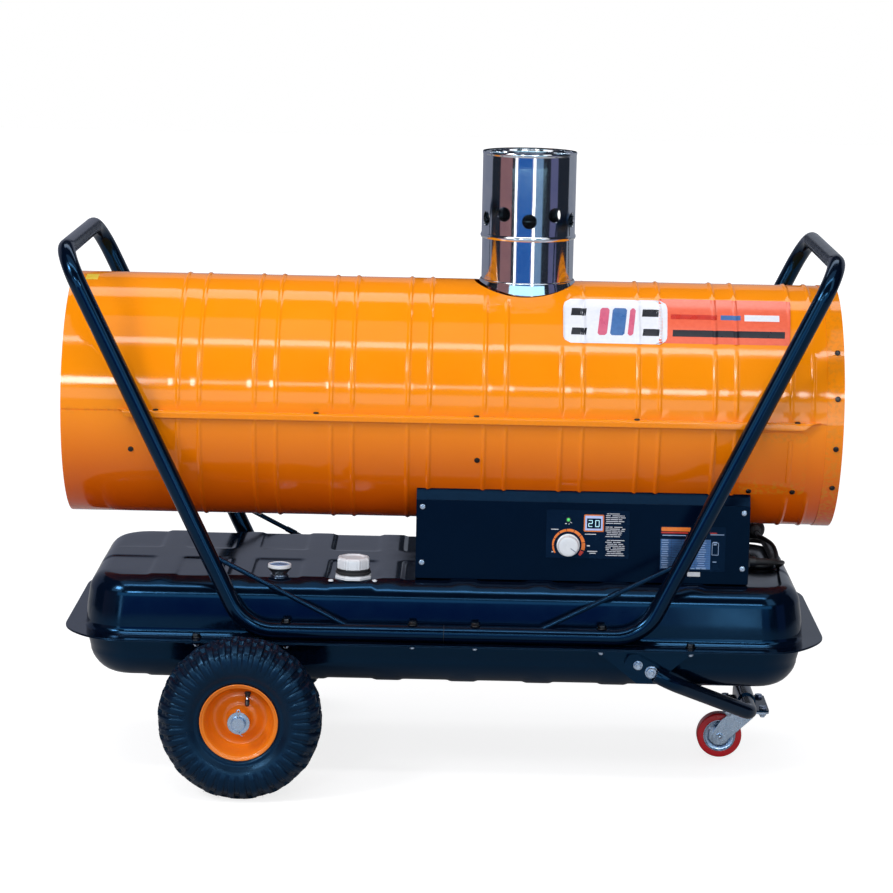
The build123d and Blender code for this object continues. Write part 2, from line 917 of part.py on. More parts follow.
def control_face():
    """The plate that closes the pedestal's front."""
    x0 = pedestal_x0
    x1 = pedestal_x1
    solid = block(x0, x1, face_front, pedestal_face, pedestal_bottom, pedestal_face_top)
    for plane in face_screw_planes():
        solid -= screw_hole(plane)
    return solid - knob_hole()


def knob_hole():
    """The hole for the knob's shaft."""
    x = drum_x + knob_x
    front = face_front - panel_thickness - over
    return bar((x, front, knob_z), (x, pedestal_face + over, knob_z), knob_shaft_hole)


def control_panel():
    """The panel round the knob and the display."""
    x = drum_x + panel_x
    front = face_front - panel_thickness
    size = (panel_width, panel_height, panel_corner)
    return rounded_plate(x, panel_z, *size, front, panel_thickness) - knob_hole()


def rating_plate():
    """The bare plate beside the control panel."""
    x = drum_x + plate_x
    front = face_front - plate_thickness
    size = (plate_width, plate_height, plate_corner)
    return rounded_plate(x, plate_z, *size, front, plate_thickness)


def thermostat_knob():
    """The knob with its skirt, pointer and shaft."""
    x = drum_x + knob_x
    back = face_front - panel_thickness - knob_gap
    front = back - knob_height
    knob = bar((x, back - knob_skirt, knob_z), (x, front, knob_z), knob_radius - knob_skirt)
    knob = fillet(knob.edges().group_by(Axis.Y)[0], knob_round)
    knob += bar((x, back, knob_z), (x, back - knob_skirt, knob_z), knob_radius)
    half = pointer_width / 2
    knob -= block(x - half, x + half, front, front + pointer_depth, knob_z, knob_z + knob_radius)
    return knob + bar((x, back, knob_z), (x, back + knob_shaft_length, knob_z), knob_shaft)


def thermostat_body():
    """The switch and thermostat behind the face plate."""
    x = drum_x + knob_x
    half = thermostat_size / 2
    y0 = pedestal_face - over
    y1 = pedestal_face + thermostat_depth
    solid = block(x - half, x + half, pedestal_face, y1, knob_z - half, knob_z + half)
    bore = knob_shaft + running_clearance
    return solid - bar((x, y0, knob_z), (x, y1 - thermostat_back, knob_z), bore)


def ignition_transformer():
    """The ignition transformer on the pedestal's floor."""
    length, width, height = transformer_size
    x = drum_x + transformer_x
    z = pedestal_floor
    solid = block(x - length / 2, x + length / 2, -width / 2, width / 2, z, z + height)
    return fillet(solid.edges().filter_by(Axis.Z), transformer_corner)


def control_board():
    """The control board on its posts."""
    length, width, height = board_size
    x = drum_x + board_x
    z = pedestal_floor + board_stand
    solid = block(x - length / 2, x + length / 2, -width / 2, width / 2, z, z + height)
    for sx in (-1, 1):
        for sy in (-1, 1):
            px = x + sx * (length / 2 - 2 * board_post)
            py = sy * (width / 2 - 2 * board_post)
            solid += bar((px, py, pedestal_floor), (px, py, z), board_post)
    for dx, dy, part_length, part_width, part_height in board_parts:
        top = z + height + part_height
        left = x + dx - part_length / 2
        near = dy - part_width / 2
        solid += block(left, left + part_length, near, near + part_width, z + height, top)
    return solid


def tank_block(length, width, corner, z, height, taper):
    """A rounded block that narrows away from the seam."""
    plane = Plane(origin=(frame_x, 0, z), z_dir=(0, 0, 1 if height > 0 else -1))
    return extrude(plane * RectangleRounded(length, width, corner), abs(height), taper=taper)


def tank_flange(z):
    """The flat rim of one tank half, before its opening is cut."""
    plane = Plane(origin=(frame_x, 0, z), z_dir=(0, 0, 1))
    return extrude(plane * RectangleRounded(flange_length, flange_width, flange_corner), tank_sheet)


def rib(x, z, way, corner):
    """A shallow cross rib on the tank's top or bottom; way is 1 upwards and -1 downwards."""
    base = z - way * rib_sunk
    left = Vector(x - rib_width / 2, 0, base)
    right = Vector(x + rib_width / 2, 0, base)
    outline = Wire([ThreePointArc(left, Vector(x, 0, z + way * rib_rise), right), Line(right, left)])
    return extrude(Face(outline), tank_width / 2 - rib_inset - corner, both=True)


def rib_positions():
    """Where the ribs lie along the tank."""
    return [frame_x + rib_first + number * rib_pitch for number in range(ribs)]


def bolt_places():
    """Every upright bolt of the flange: X, Y, whether it holds the tube, whether it holds a bracket."""
    for side in (-1, 1):
        for way in (-1, 1):
            for distance in inner_bolts:
                yield frame_x + way * distance, side * tube_y, True, distance == inner_bolts[1]
            yield frame_x + way * bracket_bolt, side * tube_y, False, True


def bolt_holes(z0, z1):
    """The holes for the upright bolts between two heights."""
    return [bar((x, y, z0), (x, y, z1), bolt_hole) for x, y, on_tube, on_bracket in bolt_places()]


def tank_upper():
    """The upper tank half, with its flange, ribs and openings."""
    height = tank_top - tank_seam
    outer = tank_block(tank_length, tank_width, tank_corner, tank_seam, height, tank_top_taper)
    outer = fillet(outer.faces().sort_by(Axis.Z)[-1].edges(), tank_top_fillet)
    outer += tank_flange(tank_seam)
    outer += [rib(x, tank_top, 1, tank_top_fillet) for x in rib_positions()]
    sheet = 2 * tank_sheet
    inner = tank_block(tank_length - sheet, tank_width - sheet, tank_corner - tank_sheet, tank_seam,
                       height - tank_sheet, tank_top_taper)
    inner = fillet(inner.faces().sort_by(Axis.Z)[-1].edges(), tank_top_fillet - tank_sheet)
    solid = outer - inner
    low = tank_top - tank_sheet - over
    high = tank_top + rib_rise + over
    solid -= filler_bar(filler_radius, low, high)
    solid -= gauge_bar(gauge_stem, low, high)
    solid -= bolt_holes(tank_seam - over, flange_top + over)
    return solid - line_hole()


def tank_lower():
    """The lower tank half, with its flange and ribs."""
    depth = tank_bottom - tank_seam
    outer = tank_block(tank_length, tank_width, tank_corner, tank_seam, depth, tank_bottom_taper)
    outer = fillet(outer.faces().sort_by(Axis.Z)[0].edges(), tank_bottom_fillet)
    outer += tank_flange(flange_bottom)
    outer += [rib(x, tank_bottom, -1, tank_bottom_fillet) for x in rib_positions()]
    sheet = 2 * tank_sheet
    inner = tank_block(tank_length - sheet, tank_width - sheet, tank_corner - tank_sheet, tank_seam,
                       depth + tank_sheet, tank_bottom_taper)
    inner = fillet(inner.faces().sort_by(Axis.Z)[0].edges(), tank_bottom_fillet - tank_sheet)
    solid = outer - inner
    x = frame_x + drain_x
    z = tank_bottom
    solid -= bar((x, 0, z - rib_rise - over), (x, 0, z + tank_sheet + over), drain_radius)
    return solid - bolt_holes(flange_bottom - over, tank_seam + over)


def drain_plug():
    """The drain plug in the tank's bottom."""
    x = frame_x + drain_x
    shank = bar((x, 0, tank_bottom), (x, 0, tank_bottom + drain_shank), drain_radius)
    return shank + hexagon((x, 0, tank_bottom), (x, 0, tank_bottom - drain_head_height), drain_head)


def filler_bar(radius, z0, z1):
    """An upright cylinder on the filler's axis."""
    x = frame_x + filler_x
    return bar((x, filler_y, z0), (x, filler_y, z1), radius)


def gauge_bar(radius, z0, z1):
    """An upright cylinder on the gauge's axis."""
    x = frame_x + gauge_x
    return bar((x, gauge_y, z0), (x, gauge_y, z1), radius)


def filler_neck():
    """The neck that the cap closes, with its base ring."""
    solid = filler_bar(filler_base, tank_top, tank_top + filler_base_thickness)
    solid += filler_bar(filler_radius, tank_top - filler_depth, tank_top + filler_height)
    bore = filler_radius - filler_wall
    return solid - filler_bar(bore, tank_top - filler_depth, tank_top + filler_height)


def filler_strainer():
    """The strainer cup that hangs in the neck from its rim."""
    top = tank_top + filler_height
    outer = filler_radius - filler_wall - strainer_gap
    solid = filler_bar(filler_radius, top, top + strainer_wall)
    solid += filler_bar(outer, top - strainer_depth, top)
    floor = top - strainer_depth + strainer_wall
    return solid - filler_bar(outer - strainer_wall, floor, top + strainer_wall)


def cap_gasket():
    """The ring inside the cap that seals on the neck."""
    z0 = tank_top + filler_height + strainer_wall + gasket_gap
    z1 = z0 + gasket_thickness
    return filler_bar(filler_radius, z0, z1) - filler_bar(filler_radius - gasket_band, z0, z1)


def fuel_cap():
    """The ribbed cap over the neck."""
    inside = tank_top + filler_height + strainer_wall + gasket_gap + gasket_thickness
    inside += running_clearance
    top = inside + cap_wall
    solid = filler_bar(cap_radius - cap_rib, top - cap_height, top)
    solid = fillet(solid.faces().sort_by(Axis.Z)[-1].edges(), cap_round)
    x = frame_x + filler_x
    low = top - cap_height + cap_rib_low
    high = top - cap_rib_high
    for number in range(cap_ribs):
        angle = 2 * pi * number / cap_ribs
        rib_x = x + cos(angle) * (cap_radius - 2 * cap_rib)
        rib_y = filler_y + sin(angle) * (cap_radius - 2 * cap_rib)
        solid += bar((rib_x, rib_y, low), (rib_x, rib_y, high), 2 * cap_rib)
    return solid - filler_bar(filler_radius + cap_gap, top - cap_height - over, inside)


def float_pivot():
    """The point that the float arm turns on."""
    return Vector(frame_x + gauge_x, gauge_y, tank_top - gauge_stem_length)


def fuel_gauge():
    """The gauge on the tank, with its stem and the fork that carries the float arm."""
    solid = gauge_bar(gauge_radius, tank_top, tank_top + gauge_height)
    z = tank_top + gauge_height
    solid += gauge_bar(gauge_radius - gauge_rim, z, z + gauge_disc)
    pivot = float_pivot()
    bottom = pivot.Z - gauge_stem
    solid += gauge_bar(gauge_stem, bottom, tank_top)
    y0 = gauge_y - fork_gap / 2
    y1 = gauge_y + fork_gap / 2
    reach = gauge_stem + over
    x0 = pivot.X - reach
    x1 = pivot.X + reach
    solid -= block(x0, x1, y0, y1, bottom - over, pivot.Z + fork_slot_above)
    y0 = gauge_y - gauge_stem + float_pin_inset
    y1 = gauge_y + gauge_stem - float_pin_inset
    return solid + bar((pivot.X, y0, pivot.Z), (pivot.X, y1, pivot.Z), float_pin)


def float_arm():
    """The float on its arm, which swings on the gauge's pin."""
    pivot = float_pivot()
    half = fork_gap / 2 - float_eye_gap
    y0 = gauge_y - half
    y1 = gauge_y + half
    z = pivot.Z
    end = pivot.X - float_arm_length
    eye = bar((pivot.X, y0, z), (pivot.X, y1, z), float_eye)
    rod = bar((pivot.X, gauge_y, z), (end, gauge_y, z), float_rod)
    hole = bar((pivot.X, y0 - over, z), (pivot.X, y1 + over, z), float_pin + running_clearance)
    y0 = gauge_y - float_length / 2
    y1 = gauge_y + float_length / 2
    return eye + rod + bar((end, y0, z), (end, y1, z), float_radius) - hole


def fuel_line():
    """The fuel line from the tank, through the pedestal, to the pump."""
    x = drum_x + line_x
    end = drum_x + motor_left + motor_length + pump_length / 2
    z = drum_z - wall_radius + line_below_drum
    points = [(x, 0, line_pickup), (x, 0, z), (end, 0, z), (end, 0, drum_z - pump_radius)]
    line = swept(FilletPolyline(*points, radius=line_bend), line_radius, line_radius - line_wall)
    reach = line_radius + over
    return line - bar((end - reach, 0, drum_z), (end + reach, 0, drum_z), pump_radius)


def handle_path(way):
    """The centre line of one U-shaped handle, from the middle joint round and back."""
    middle = frame_x
    foot = frame_x + way * handle_foot
    tip = frame_x + way * handle_reach
    points = [
        (middle, tube_y, tube_z), (foot, tube_y, tube_z), (tip, tube_y, handle_top),
        (tip, -tube_y, handle_top), (foot, -tube_y, tube_z), (middle, -tube_y, tube_z),
    ]
    bends = [handle_foot_bend, handle_top_bend, handle_top_bend, handle_foot_bend]
    return FilletPolyline(*points, radius=bends)


def handle(way):
    """One bent handle tube, drilled for its bolts."""
    tube = swept(handle_path(way), tube_radius, tube_radius - tube_wall)
    return tube - bolt_holes(tube_z - tube_radius - over, tube_z + tube_radius + over)


def brace_rods():
    """The four rods that stay the handles, cut to meet the tubes."""
    rods = []
    slope = (handle_reach - handle_foot) / (handle_top - tube_z)
    for way in (-1, 1):
        tube = swept(handle_path(way), tube_radius)
        for side in (-1, 1):
            y = side * tube_y
            high_x = frame_x + way * (handle_foot + slope * brace_height)
            high = (high_x, y, tube_z + brace_height)
            low = (frame_x + way * brace_foot, y, tube_z)
            rods.append(bar(high, low, brace_radius) - tube)
    return Compound(children=rods)


def bolt(x, y, z, grip):
    """An upright bolt with its head at z and its nut below the grip."""
    solid = hexagon((x, y, z), (x, y, z + bolt_head_height), bolt_head)
    solid += bar((x, y, z), (x, y, z - grip - bolt_head_height - bolt_tail), bolt_radius)
    return solid + hexagon((x, y, z - grip), (x, y, z - grip - bolt_head_height), bolt_head)


def frame_bolts():
    """Every bolt of the frame and brackets."""
    bolts = []
    for x, y, on_tube, on_bracket in bolt_places():
        top = tube_z + tube_radius if on_tube else flange_top
        bottom = leaf_bottom if on_bracket else flange_bottom
        bolts.append(bolt(x, y, top, top - bottom))
    for side in (-1, 1):
        outer = side * (leg_side() + leg_flat)
        inner = side * leaf_inner
        head_end = outer + side * bolt_head_height
        nut_end = inner - side * bolt_head_height
        for x, z in leg_bolt_places():
            head = hexagon((x, outer, z), (x, head_end, z), bolt_head)
            shank = bar((x, outer, z), (x, nut_end, z), bolt_radius)
            bolts.append(head + shank + hexagon((x, inner, z), (x, nut_end, z), bolt_head))
    for sx in (-1, 1):
        for sy in (-1, 1):
            x = caster_x + sx * mount_bolt_x / 2
            y = sy * mount_bolt_y / 2
            bolts.append(bolt(x, y, mount_top(), 2 * mount_thickness))
    return Compound(children=bolts)


def bracket_shape(side, middle, low_points):
    """A folded bracket: a leaf under the flange, and a plate that hangs from its inner edge."""
    x0 = middle - (bracket_bolt - inner_bolts[1]) / 2 - bracket_end
    x1 = middle + (bracket_bolt - inner_bolts[1]) / 2 + bracket_end
    leaf = block(x0, x1, side * leaf_inner, side * leaf_outer, leaf_bottom, flange_bottom)
    outline = make_face(Polyline((x0, flange_bottom), *low_points, (x1, flange_bottom), close=True))
    plate = Plane.XZ * outline
    plate = Pos(0, side * leaf_inner, 0) * extrude(plate, -side * leaf_thickness)
    return leaf + plate - bolt_holes(leaf_bottom - over, flange_bottom + over)


def wheel_brackets():
    """The two brackets that carry the axle."""
    middle = frame_x - bracket_middle
    pieces = []
    for side in (-1, 1):
        foot = [(axle_x - axle_boss, axle_z), (axle_x + axle_boss, axle_z)]
        plate = bracket_shape(side, middle, foot)
        inner = side * leaf_inner
        outer = side * (leaf_inner + leaf_thickness)
        plate += bar((axle_x, inner, axle_z), (axle_x, outer, axle_z), axle_boss)
        pieces.append(plate - bar((axle_x, 0, axle_z), (axle_x, 2 * outer, axle_z), axle_radius))
    return Compound(children=pieces)


def leg_side():
    """How far out the flattened ends of the caster's leg lie."""
    return leaf_inner + leaf_thickness


def leg_bolt_places():
    """The two bolts through each flattened end of the leg."""
    run = Vector(leg_knee_x - leg_start_x, 0, leg_knee_z - leg_start_z).normalized()
    for distance in (leg_bolt_first, leg_bolt_second):
        place = Vector(leg_start_x, 0, leg_start_z) + run * distance
        yield place.X, place.Z


def leg_brackets():
    """The two brackets that carry the caster's leg."""
    middle = frame_x + bracket_middle
    pieces = []
    low_z = leg_knee_z - leg_bracket_below
    low = [
        (leg_start_x + leg_bracket_start, low_z), (leg_knee_x - leg_bracket_end, low_z),
        (middle + leg_bracket_tail, leaf_bottom - leg_bracket_tail_drop),
    ]
    for side in (-1, 1):
        plate = bracket_shape(side, middle, low)
        y0 = side * leaf_inner - leaf_thickness - over
        y1 = side * leaf_inner + leaf_thickness + over
        for x, z in leg_bolt_places():
            plate -= bar((x, y0, z), (x, y1, z), bolt_radius)
        pieces.append(plate)
    return Compound(children=pieces)


def leg_path():
    """The centre line of the caster's leg."""
    y = leg_side() + leg_radius + leg_clear
    points = [
        (leg_start_x, y, leg_start_z), (leg_knee_x, y, leg_knee_z),
        (caster_x, leg_cross_half, leg_cross_z), (caster_x, -leg_cross_half, leg_cross_z),
        (leg_knee_x, -y, leg_knee_z), (leg_start_x, -y, leg_start_z),
    ]
    return FilletPolyline(*points, radius=[2 * leg_bend, leg_bend, leg_bend, 2 * leg_bend])


def caster_leg():
    """The U-shaped tube that carries the caster, with flattened ends on the brackets."""
    path = leg_path()
    solid = swept(path, leg_radius, leg_radius - leg_wall)
    bore = sweep(Plane(origin=path @ 0, z_dir=path % 0) * Circle(leg_radius - leg_wall), path=path)
    x0 = leg_knee_x - leg_bore_start
    bore &= block(x0, caster_x, -flange_width, flange_width, 0, drum_z)
    run = Vector(leg_knee_x - leg_start_x, 0, leg_knee_z - leg_start_z)
    plane = Plane(origin=(leg_start_x, 0, leg_start_z), x_dir=run, z_dir=(0, -1, 0))
    cutter = Pos((leg_flat_length - leg_radius) / 2) * Rectangle(leg_flat_length + leg_radius, 3 * leg_radius)
    solid -= extrude(plane * cutter, flange_width, both=True)
    flat = Pos(leg_flat_length / 2) * RectangleRounded(
        leg_flat_length + 2 * leg_flat_end, leg_flat_height, leg_flat_corner)
    for side in (-1, 1):
        middle = side * (leg_side() + leg_flat / 2)
        solid += Pos(0, middle, 0) * extrude(plane * flat, leg_flat / 2, both=True) - bore
        y0 = side * (leg_side() - over)
        y1 = side * (leg_side() + leg_flat + over)
        for x, z in leg_bolt_places():
            solid -= bar((x, y0, z), (x, y1, z), bolt_radius)
    return solid


def mount_top():
    """The top face of the plate under the leg's crossbar."""
    return leg_cross_z - leg_radius


def mount_holes(z0, z1):
    """The bolt holes of the caster's two plates."""
    holes = []
    for sx in (-1, 1):
        for sy in (-1, 1):
            x = caster_x + sx * mount_bolt_x / 2
            y = sy * mount_bolt_y / 2
            holes.append(bar((x, y, z0), (x, y, z1), mount_bolt_radius))
    return holes


def caster_saddle():
    """The plate and saddle welded to the leg's crossbar."""
    top = mount_top()
    z = leg_cross_z
    low = top - mount_thickness
    half_x = mount_length / 2
    half_y = mount_width / 2
    plate = block(caster_x - half_x, caster_x + half_x, -half_y, half_y, low, top)
    plate = fillet(plate.edges().filter_by(Axis.Z), saddle_corner)
    outer = leg_radius + saddle_wall
    half = saddle_width / 2
    saddle = bar((caster_x, -half, z), (caster_x, half, z), outer)
    saddle += block(caster_x - outer, caster_x + outer, -half, half, top, z)
    saddle -= block(caster_x - outer, caster_x + outer, -half, half, z - outer, top)
    x0 = caster_x - leg_radius
    x1 = caster_x + leg_radius
    saddle -= bar((caster_x, -half, z), (caster_x, half, z), leg_radius)
    saddle -= block(x0, x1, -half, half, top, z)
    return plate + saddle - mount_holes(low - over, top + over)


def caster_plate():
    """The caster's own top plate, with its kingpin."""
    top = mount_top() - mount_thickness
    bottom = top - mount_thickness
    half_x = mount_length / 2
    half_y = mount_width / 2
    solid = block(caster_x - half_x, caster_x + half_x, -half_y, half_y, bottom, top)
    solid = fillet(solid.edges().filter_by(Axis.Z), mount_corner)
    solid += bar((caster_x, 0, bottom), (caster_x, 0, crown_top + race_gap), race_radius)
    low = crown_top - crown_thickness - kingpin_above
    solid += bar((caster_x, 0, bottom), (caster_x, 0, low), kingpin_radius)
    return solid - mount_holes(bottom - over, top + over)


def caster_fork():
    """The swivelling fork, with its crown and two legs."""
    low = crown_top - crown_thickness
    crown = bar((caster_x, 0, low), (caster_x, 0, crown_top), crown_radius)
    x = caster_x - caster_trail
    z = caster_wheel_radius
    points = [
        (caster_x - fork_back, low), (caster_x + fork_front, low),
        (x + fork_end, z), (x - fork_end, z),
    ]
    outline = make_face(Polyline(*points, close=True))
    for side in (-1, 1):
        y0 = side * fork_inner
        y1 = side * (fork_inner + fork_wall)
        plane = Plane(origin=(0, (y0 + y1) / 2, 0), x_dir=(1, 0, 0), z_dir=(0, -1, 0))
        crown += extrude(plane * outline, fork_wall / 2, both=True)
        crown += bar((x, y0, z), (x, y1, z), fork_end)
    pin_hole = kingpin_radius + running_clearance
    crown -= bar((caster_x, 0, low - over), (caster_x, 0, crown_top + over), pin_hole)
    reach = fork_inner + fork_wall + over
    return crown - bar((x, -reach, z), (x, reach, z), caster_axle_radius)


def caster_axle():
    """The bolt that the caster's wheel turns on."""
    x = caster_x - caster_trail
    z = caster_wheel_radius
    outer = fork_inner + fork_wall
    end = outer + caster_nut + caster_axle_tail
    solid = bar((x, -outer - caster_nut, z), (x, end, z), caster_axle_radius)
    for side in (-1, 1):
        start = side * outer
        solid += hexagon((x, start, z), (x, start + side * caster_nut, z), bolt_head)
    return solid


def caster_hub():
    """The caster wheel's metal centre."""
    x = caster_x - caster_trail
    half = caster_hub_width / 2
    radius = caster_wheel_radius - caster_tread
    z = caster_wheel_radius
    hub = bar((x, -half, z), (x, half, z), radius)
    boss = bar((x, -half, z), (x, half, z), hub_boss)
    for side in (-1, 1):
        y0 = side * half
        y1 = side * (half - hub_groove)
        hub -= bar((x, y0, z), (x, y1, z), radius - hub_groove) - boss
    bore = caster_axle_radius + running_clearance
    return hub - bar((x, -half - over, z), (x, half + over, z), bore)


def caster_tyre():
    """The caster wheel's tread."""
    x = caster_x - caster_trail
    half = caster_wheel_width / 2
    z = caster_wheel_radius
    tread = bar((x, -half, z), (x, half, z), caster_wheel_radius)
    rims = [edge for edge in tread.edges() if abs(edge.length - 2 * pi * caster_wheel_radius) < 0.1]
    tread = fillet(rims, tread_round)
    bore = caster_wheel_radius - caster_tread
    return tread - bar((x, -half - over, z), (x, half + over, z), bore)


def wheel_profile(side, points):
    """Turn a closed outline of (radius, distance out) points round the axle of one wheel."""
    placed = [Vector(axle_x, side * out, axle_z + radius) for radius, out in points]
    face = Face(Wire.make_polygon(placed, close=True))
    return revolve(face, axis=Axis((axle_x, 0, axle_z), (0, 1, 0)))


def tyre(side):
    """One pneumatic tyre, seated between the rim's flanges."""
    half = tyre_width / 2
    bead_half = rim_width / 2 - tyre_bead_gap
    seat = rim_radius - rim_seat

    def place(radius, out):
        return Vector(axle_x, side * (wheel_y + out), axle_z + radius)

    inner_bead = place(rim_radius + tyre_bead_rise, -bead_half)
    outer_bead = place(rim_radius + tyre_bead_rise, bead_half)
    inner_shoulder = place(tyre_shoulder_radius, -tyre_shoulder_out)
    outer_shoulder = place(tyre_shoulder_radius, tyre_shoulder_out)
    outline = Wire([
        Line(place(seat, -bead_half), inner_bead),
        Spline(inner_bead, place(tyre_wall_radius, -half), inner_shoulder),
        ThreePointArc(inner_shoulder, place(tyre_radius, 0), outer_shoulder),
        Spline(outer_shoulder, place(tyre_wall_radius, half), outer_bead),
        Line(outer_bead, place(seat, bead_half)),
        Line(place(seat, bead_half), place(seat, -bead_half)),
    ])
    return revolve(Face(outline), axis=Axis((axle_x, 0, axle_z), (0, 1, 0)))


def rim(side):
    """One steel rim with its hub."""
    seat = rim_radius - rim_seat
    half = rim_width / 2
    drop = seat - rim_wall
    points = [
        (seat, wheel_y - half), (rim_radius, wheel_y - half), (rim_radius, wheel_y - half - rim_wall),
        (drop, wheel_y - half - rim_wall), (drop, wheel_y - rim_dish),
        (hub_radius, wheel_y - rim_dish / 3),
        (hub_radius, hub_inner), (axle_radius + running_clearance, hub_inner),
        (axle_radius + running_clearance, hub_outer), (hub_radius, hub_outer),
        (hub_radius, wheel_y + rim_dish / 3), (drop, wheel_y - rim_dish + 3 * rim_wall),
        (drop, wheel_y + half + rim_wall), (rim_radius, wheel_y + half + rim_wall),
        (rim_radius, wheel_y + half), (seat, wheel_y + half),
    ]
    return wheel_profile(side, points)


def wheel_axle():
    """The axle through both brackets."""
    axle = bar((axle_x, -axle_end, axle_z), (axle_x, axle_end, axle_z), axle_radius)
    for side in (-1, 1):
        axle -= pin(side)
    return axle


def pin(side):
    """One split pin across the axle's end."""
    y = side * (hub_outer + 2 * washer_gap + washer_thickness + pin_radius)
    return bar((axle_x, y, axle_z - pin_low), (axle_x, y, axle_z + pin_high), pin_radius)


def axle_washers():
    """Spacers, washers and split pins that keep the wheels on the axle."""
    pieces = []
    for side in (-1, 1):
        inner = side * (leaf_inner + leaf_thickness)
        spacer = (spacer_radius, axle_radius)
        spacer_end = side * (hub_inner - washer_gap)
        pieces.append(bar((axle_x, inner, axle_z), (axle_x, spacer_end, axle_z), *spacer))
        near = side * (hub_outer + washer_gap)
        far = side * (hub_outer + washer_gap + washer_thickness)
        pieces.append(bar((axle_x, near, axle_z), (axle_x, far, axle_z), washer_radius, axle_radius))
        pieces.append(pin(side))
    return Compound(children=pieces)


def cord_gland():
    """The gland in the pedestal's side wall."""
    x = pedestal_x1
    y = gland_y
    z = gland_z
    end = x + gland_length
    inner = x - pedestal_wall
    solid = hexagon((x, y, z), (x + gland_nut_length, y, z), gland_nut)
    solid += bar((x - gland_inside, y, z), (end, y, z), gland_thread)
    solid += hexagon((inner, y, z), (inner - gland_locknut, y, z), gland_nut)
    return solid - bar((end - gland_mouth, y, z), (end + over, y, z), gland_bore)


def coil_middle():
    """The middle of the coil, across the tank."""
    return pedestal_x1 + coil_from_pedestal + coil_outer_bend + cord_diameter / 2


def coil_edges():
    """The cord's centre line in the coil: it spirals in on the tank, climbs, and spirals out."""
    step = (cord_diameter + coil_gap) / 2
    low = tank_top + cord_floor_gap + cord_diameter / 2
    high = low + cord_diameter + coil_gap
    near = coil_near_y
    far = coil_near_y + coil_run
    edges = []
    middle = coil_middle()
    bends = [coil_outer_bend - step * number for number in range(coil_half_turns)]
    place = Vector(middle + coil_outer_bend, near, low)
    on_right = True
    for layer, (z, order) in enumerate(((low, bends), (high, bends[::-1]))):
        for bend in order:
            target = Vector(place.X, far if on_right else near, z)
            if layer and bend == order[0]:
                edges.extend(climb(place, target))
            else:
                edges.append(Line(place, target))
            way = -1 if on_right else 1
            centre_x = target.X + way * bend
            beyond = bend if on_right else -bend
            crest = Vector(centre_x, target.Y + beyond, z)
            after = Vector(centre_x + way * bend, target.Y, z)
            edges.append(ThreePointArc(target, crest, after))
            place = after
            on_right = not on_right
    return edges


def climb(start, end):
    """Two arcs that lift the cord by a layer along one run."""
    middle = (start + end) * 0.5
    first = TangentArc(start, middle, tangent=Vector(0, end.Y - start.Y, 0))
    second = TangentArc(end, middle, tangent=Vector(0, start.Y - end.Y, 0))
    return [first, Edge.make_three_point_arc(middle, second @ 0.5, end)]


def cord_lead():
    """The cord's points from the gland to the coil."""
    x = pedestal_x1 + gland_length - gland_mouth
    right = coil_middle() + coil_outer_bend
    low = tank_top + cord_floor_gap + cord_diameter / 2
    y = gland_y
    z = gland_z
    return [
        (x, y, z), (right - 30.1, y, z),
        (right - 11.0, y + 11.0, z - 3.0), (right, y + 30.0, z - 7.0),
        (right, y + 54.0, z - 14.0), (right, y + 77.0, z - 21.5),
        (right, y + 98.0, low), (right, coil_near_y, low),
    ]


def cord_tail():
    """The cord's points from the coil to the plug's boot."""
    right = coil_middle() + coil_outer_bend
    high = tank_top + cord_floor_gap + cord_diameter * 1.5 + coil_gap
    y = coil_near_y
    plug_z = plug_height()
    return [
        (right, y, high), (right, y + 16.0, high), (right - 0.4, y + 32.5, high + 5.5),
        (right - 3.8, y + 48.0, high + 13.5), (right - 12.1, y + 62.5, high + 18.1),
        (right - 20.5, y + 78.0, high + 20.1), (plug_x, y + 94.0, plug_z),
        (plug_x, plug_y - plug_boot, plug_z),
    ]


def bend_radii(points):
    """The largest arc that the two runs at each point allow."""
    radii = []
    for before, corner, after in zip(points, points[1:], points[2:]):
        first = Vector(*corner) - Vector(*before)
        second = Vector(*after) - Vector(*corner)
        half_turn = radians(first.get_angle(second)) / 2
        radii.append(0.45 * min(first.length, second.length) / tan(half_turn))
    return radii


def cord_path(points):
    """Straight runs joined by tangent arcs."""
    return FilletPolyline(*points, radius=bend_radii(points))


def check_tube(name, path, solid):
    """Print how the tube's volume compares with its section times its length."""
    expected = pi * (cord_diameter / 2) ** 2 * path.length
    print(name, "length", round(path.length, 1), "volume ratio", round(solid.volume / expected, 5))


def power_cord():
    """The free cord between the gland and the coil, and from the coil to the plug."""
    pieces = []
    for name, points in (("lead", cord_lead()), ("tail", cord_tail())):
        path = cord_path(points)
        print(name, "radii", [round(radius, 1) for radius in bend_radii(points)])
        solid = swept(path, cord_diameter / 2)
        check_tube(name, path, solid)
        pieces.append(solid)
    return Compound(children=pieces)


def cord_coil():
    """The coil as one unbroken tube."""
    path = Wire(coil_edges())
    solid = swept(path, cord_diameter / 2)
    check_tube("coil", path, solid)
    print("coil least gap", round(least_gap(path), 2))
    return solid


def least_gap(path):
    """The least distance between surfaces of the tube's turns, measured on points along it."""
    count = int(path.length / gap_step)
    points = [path @ (number / count) for number in range(count + 1)]
    apart = int(gap_skip / gap_step)
    least = path.length
    for number, first in enumerate(points):
        for second in points[number + apart:]:
            least = min(least, (first - second).length)
    return least - cord_diameter


def plug_height():
    """The height of the plug's axis, lying on the coil."""
    coil_top = tank_top + cord_floor_gap + 2 * cord_diameter + coil_gap
    return coil_top + plug_radius + plug_gap


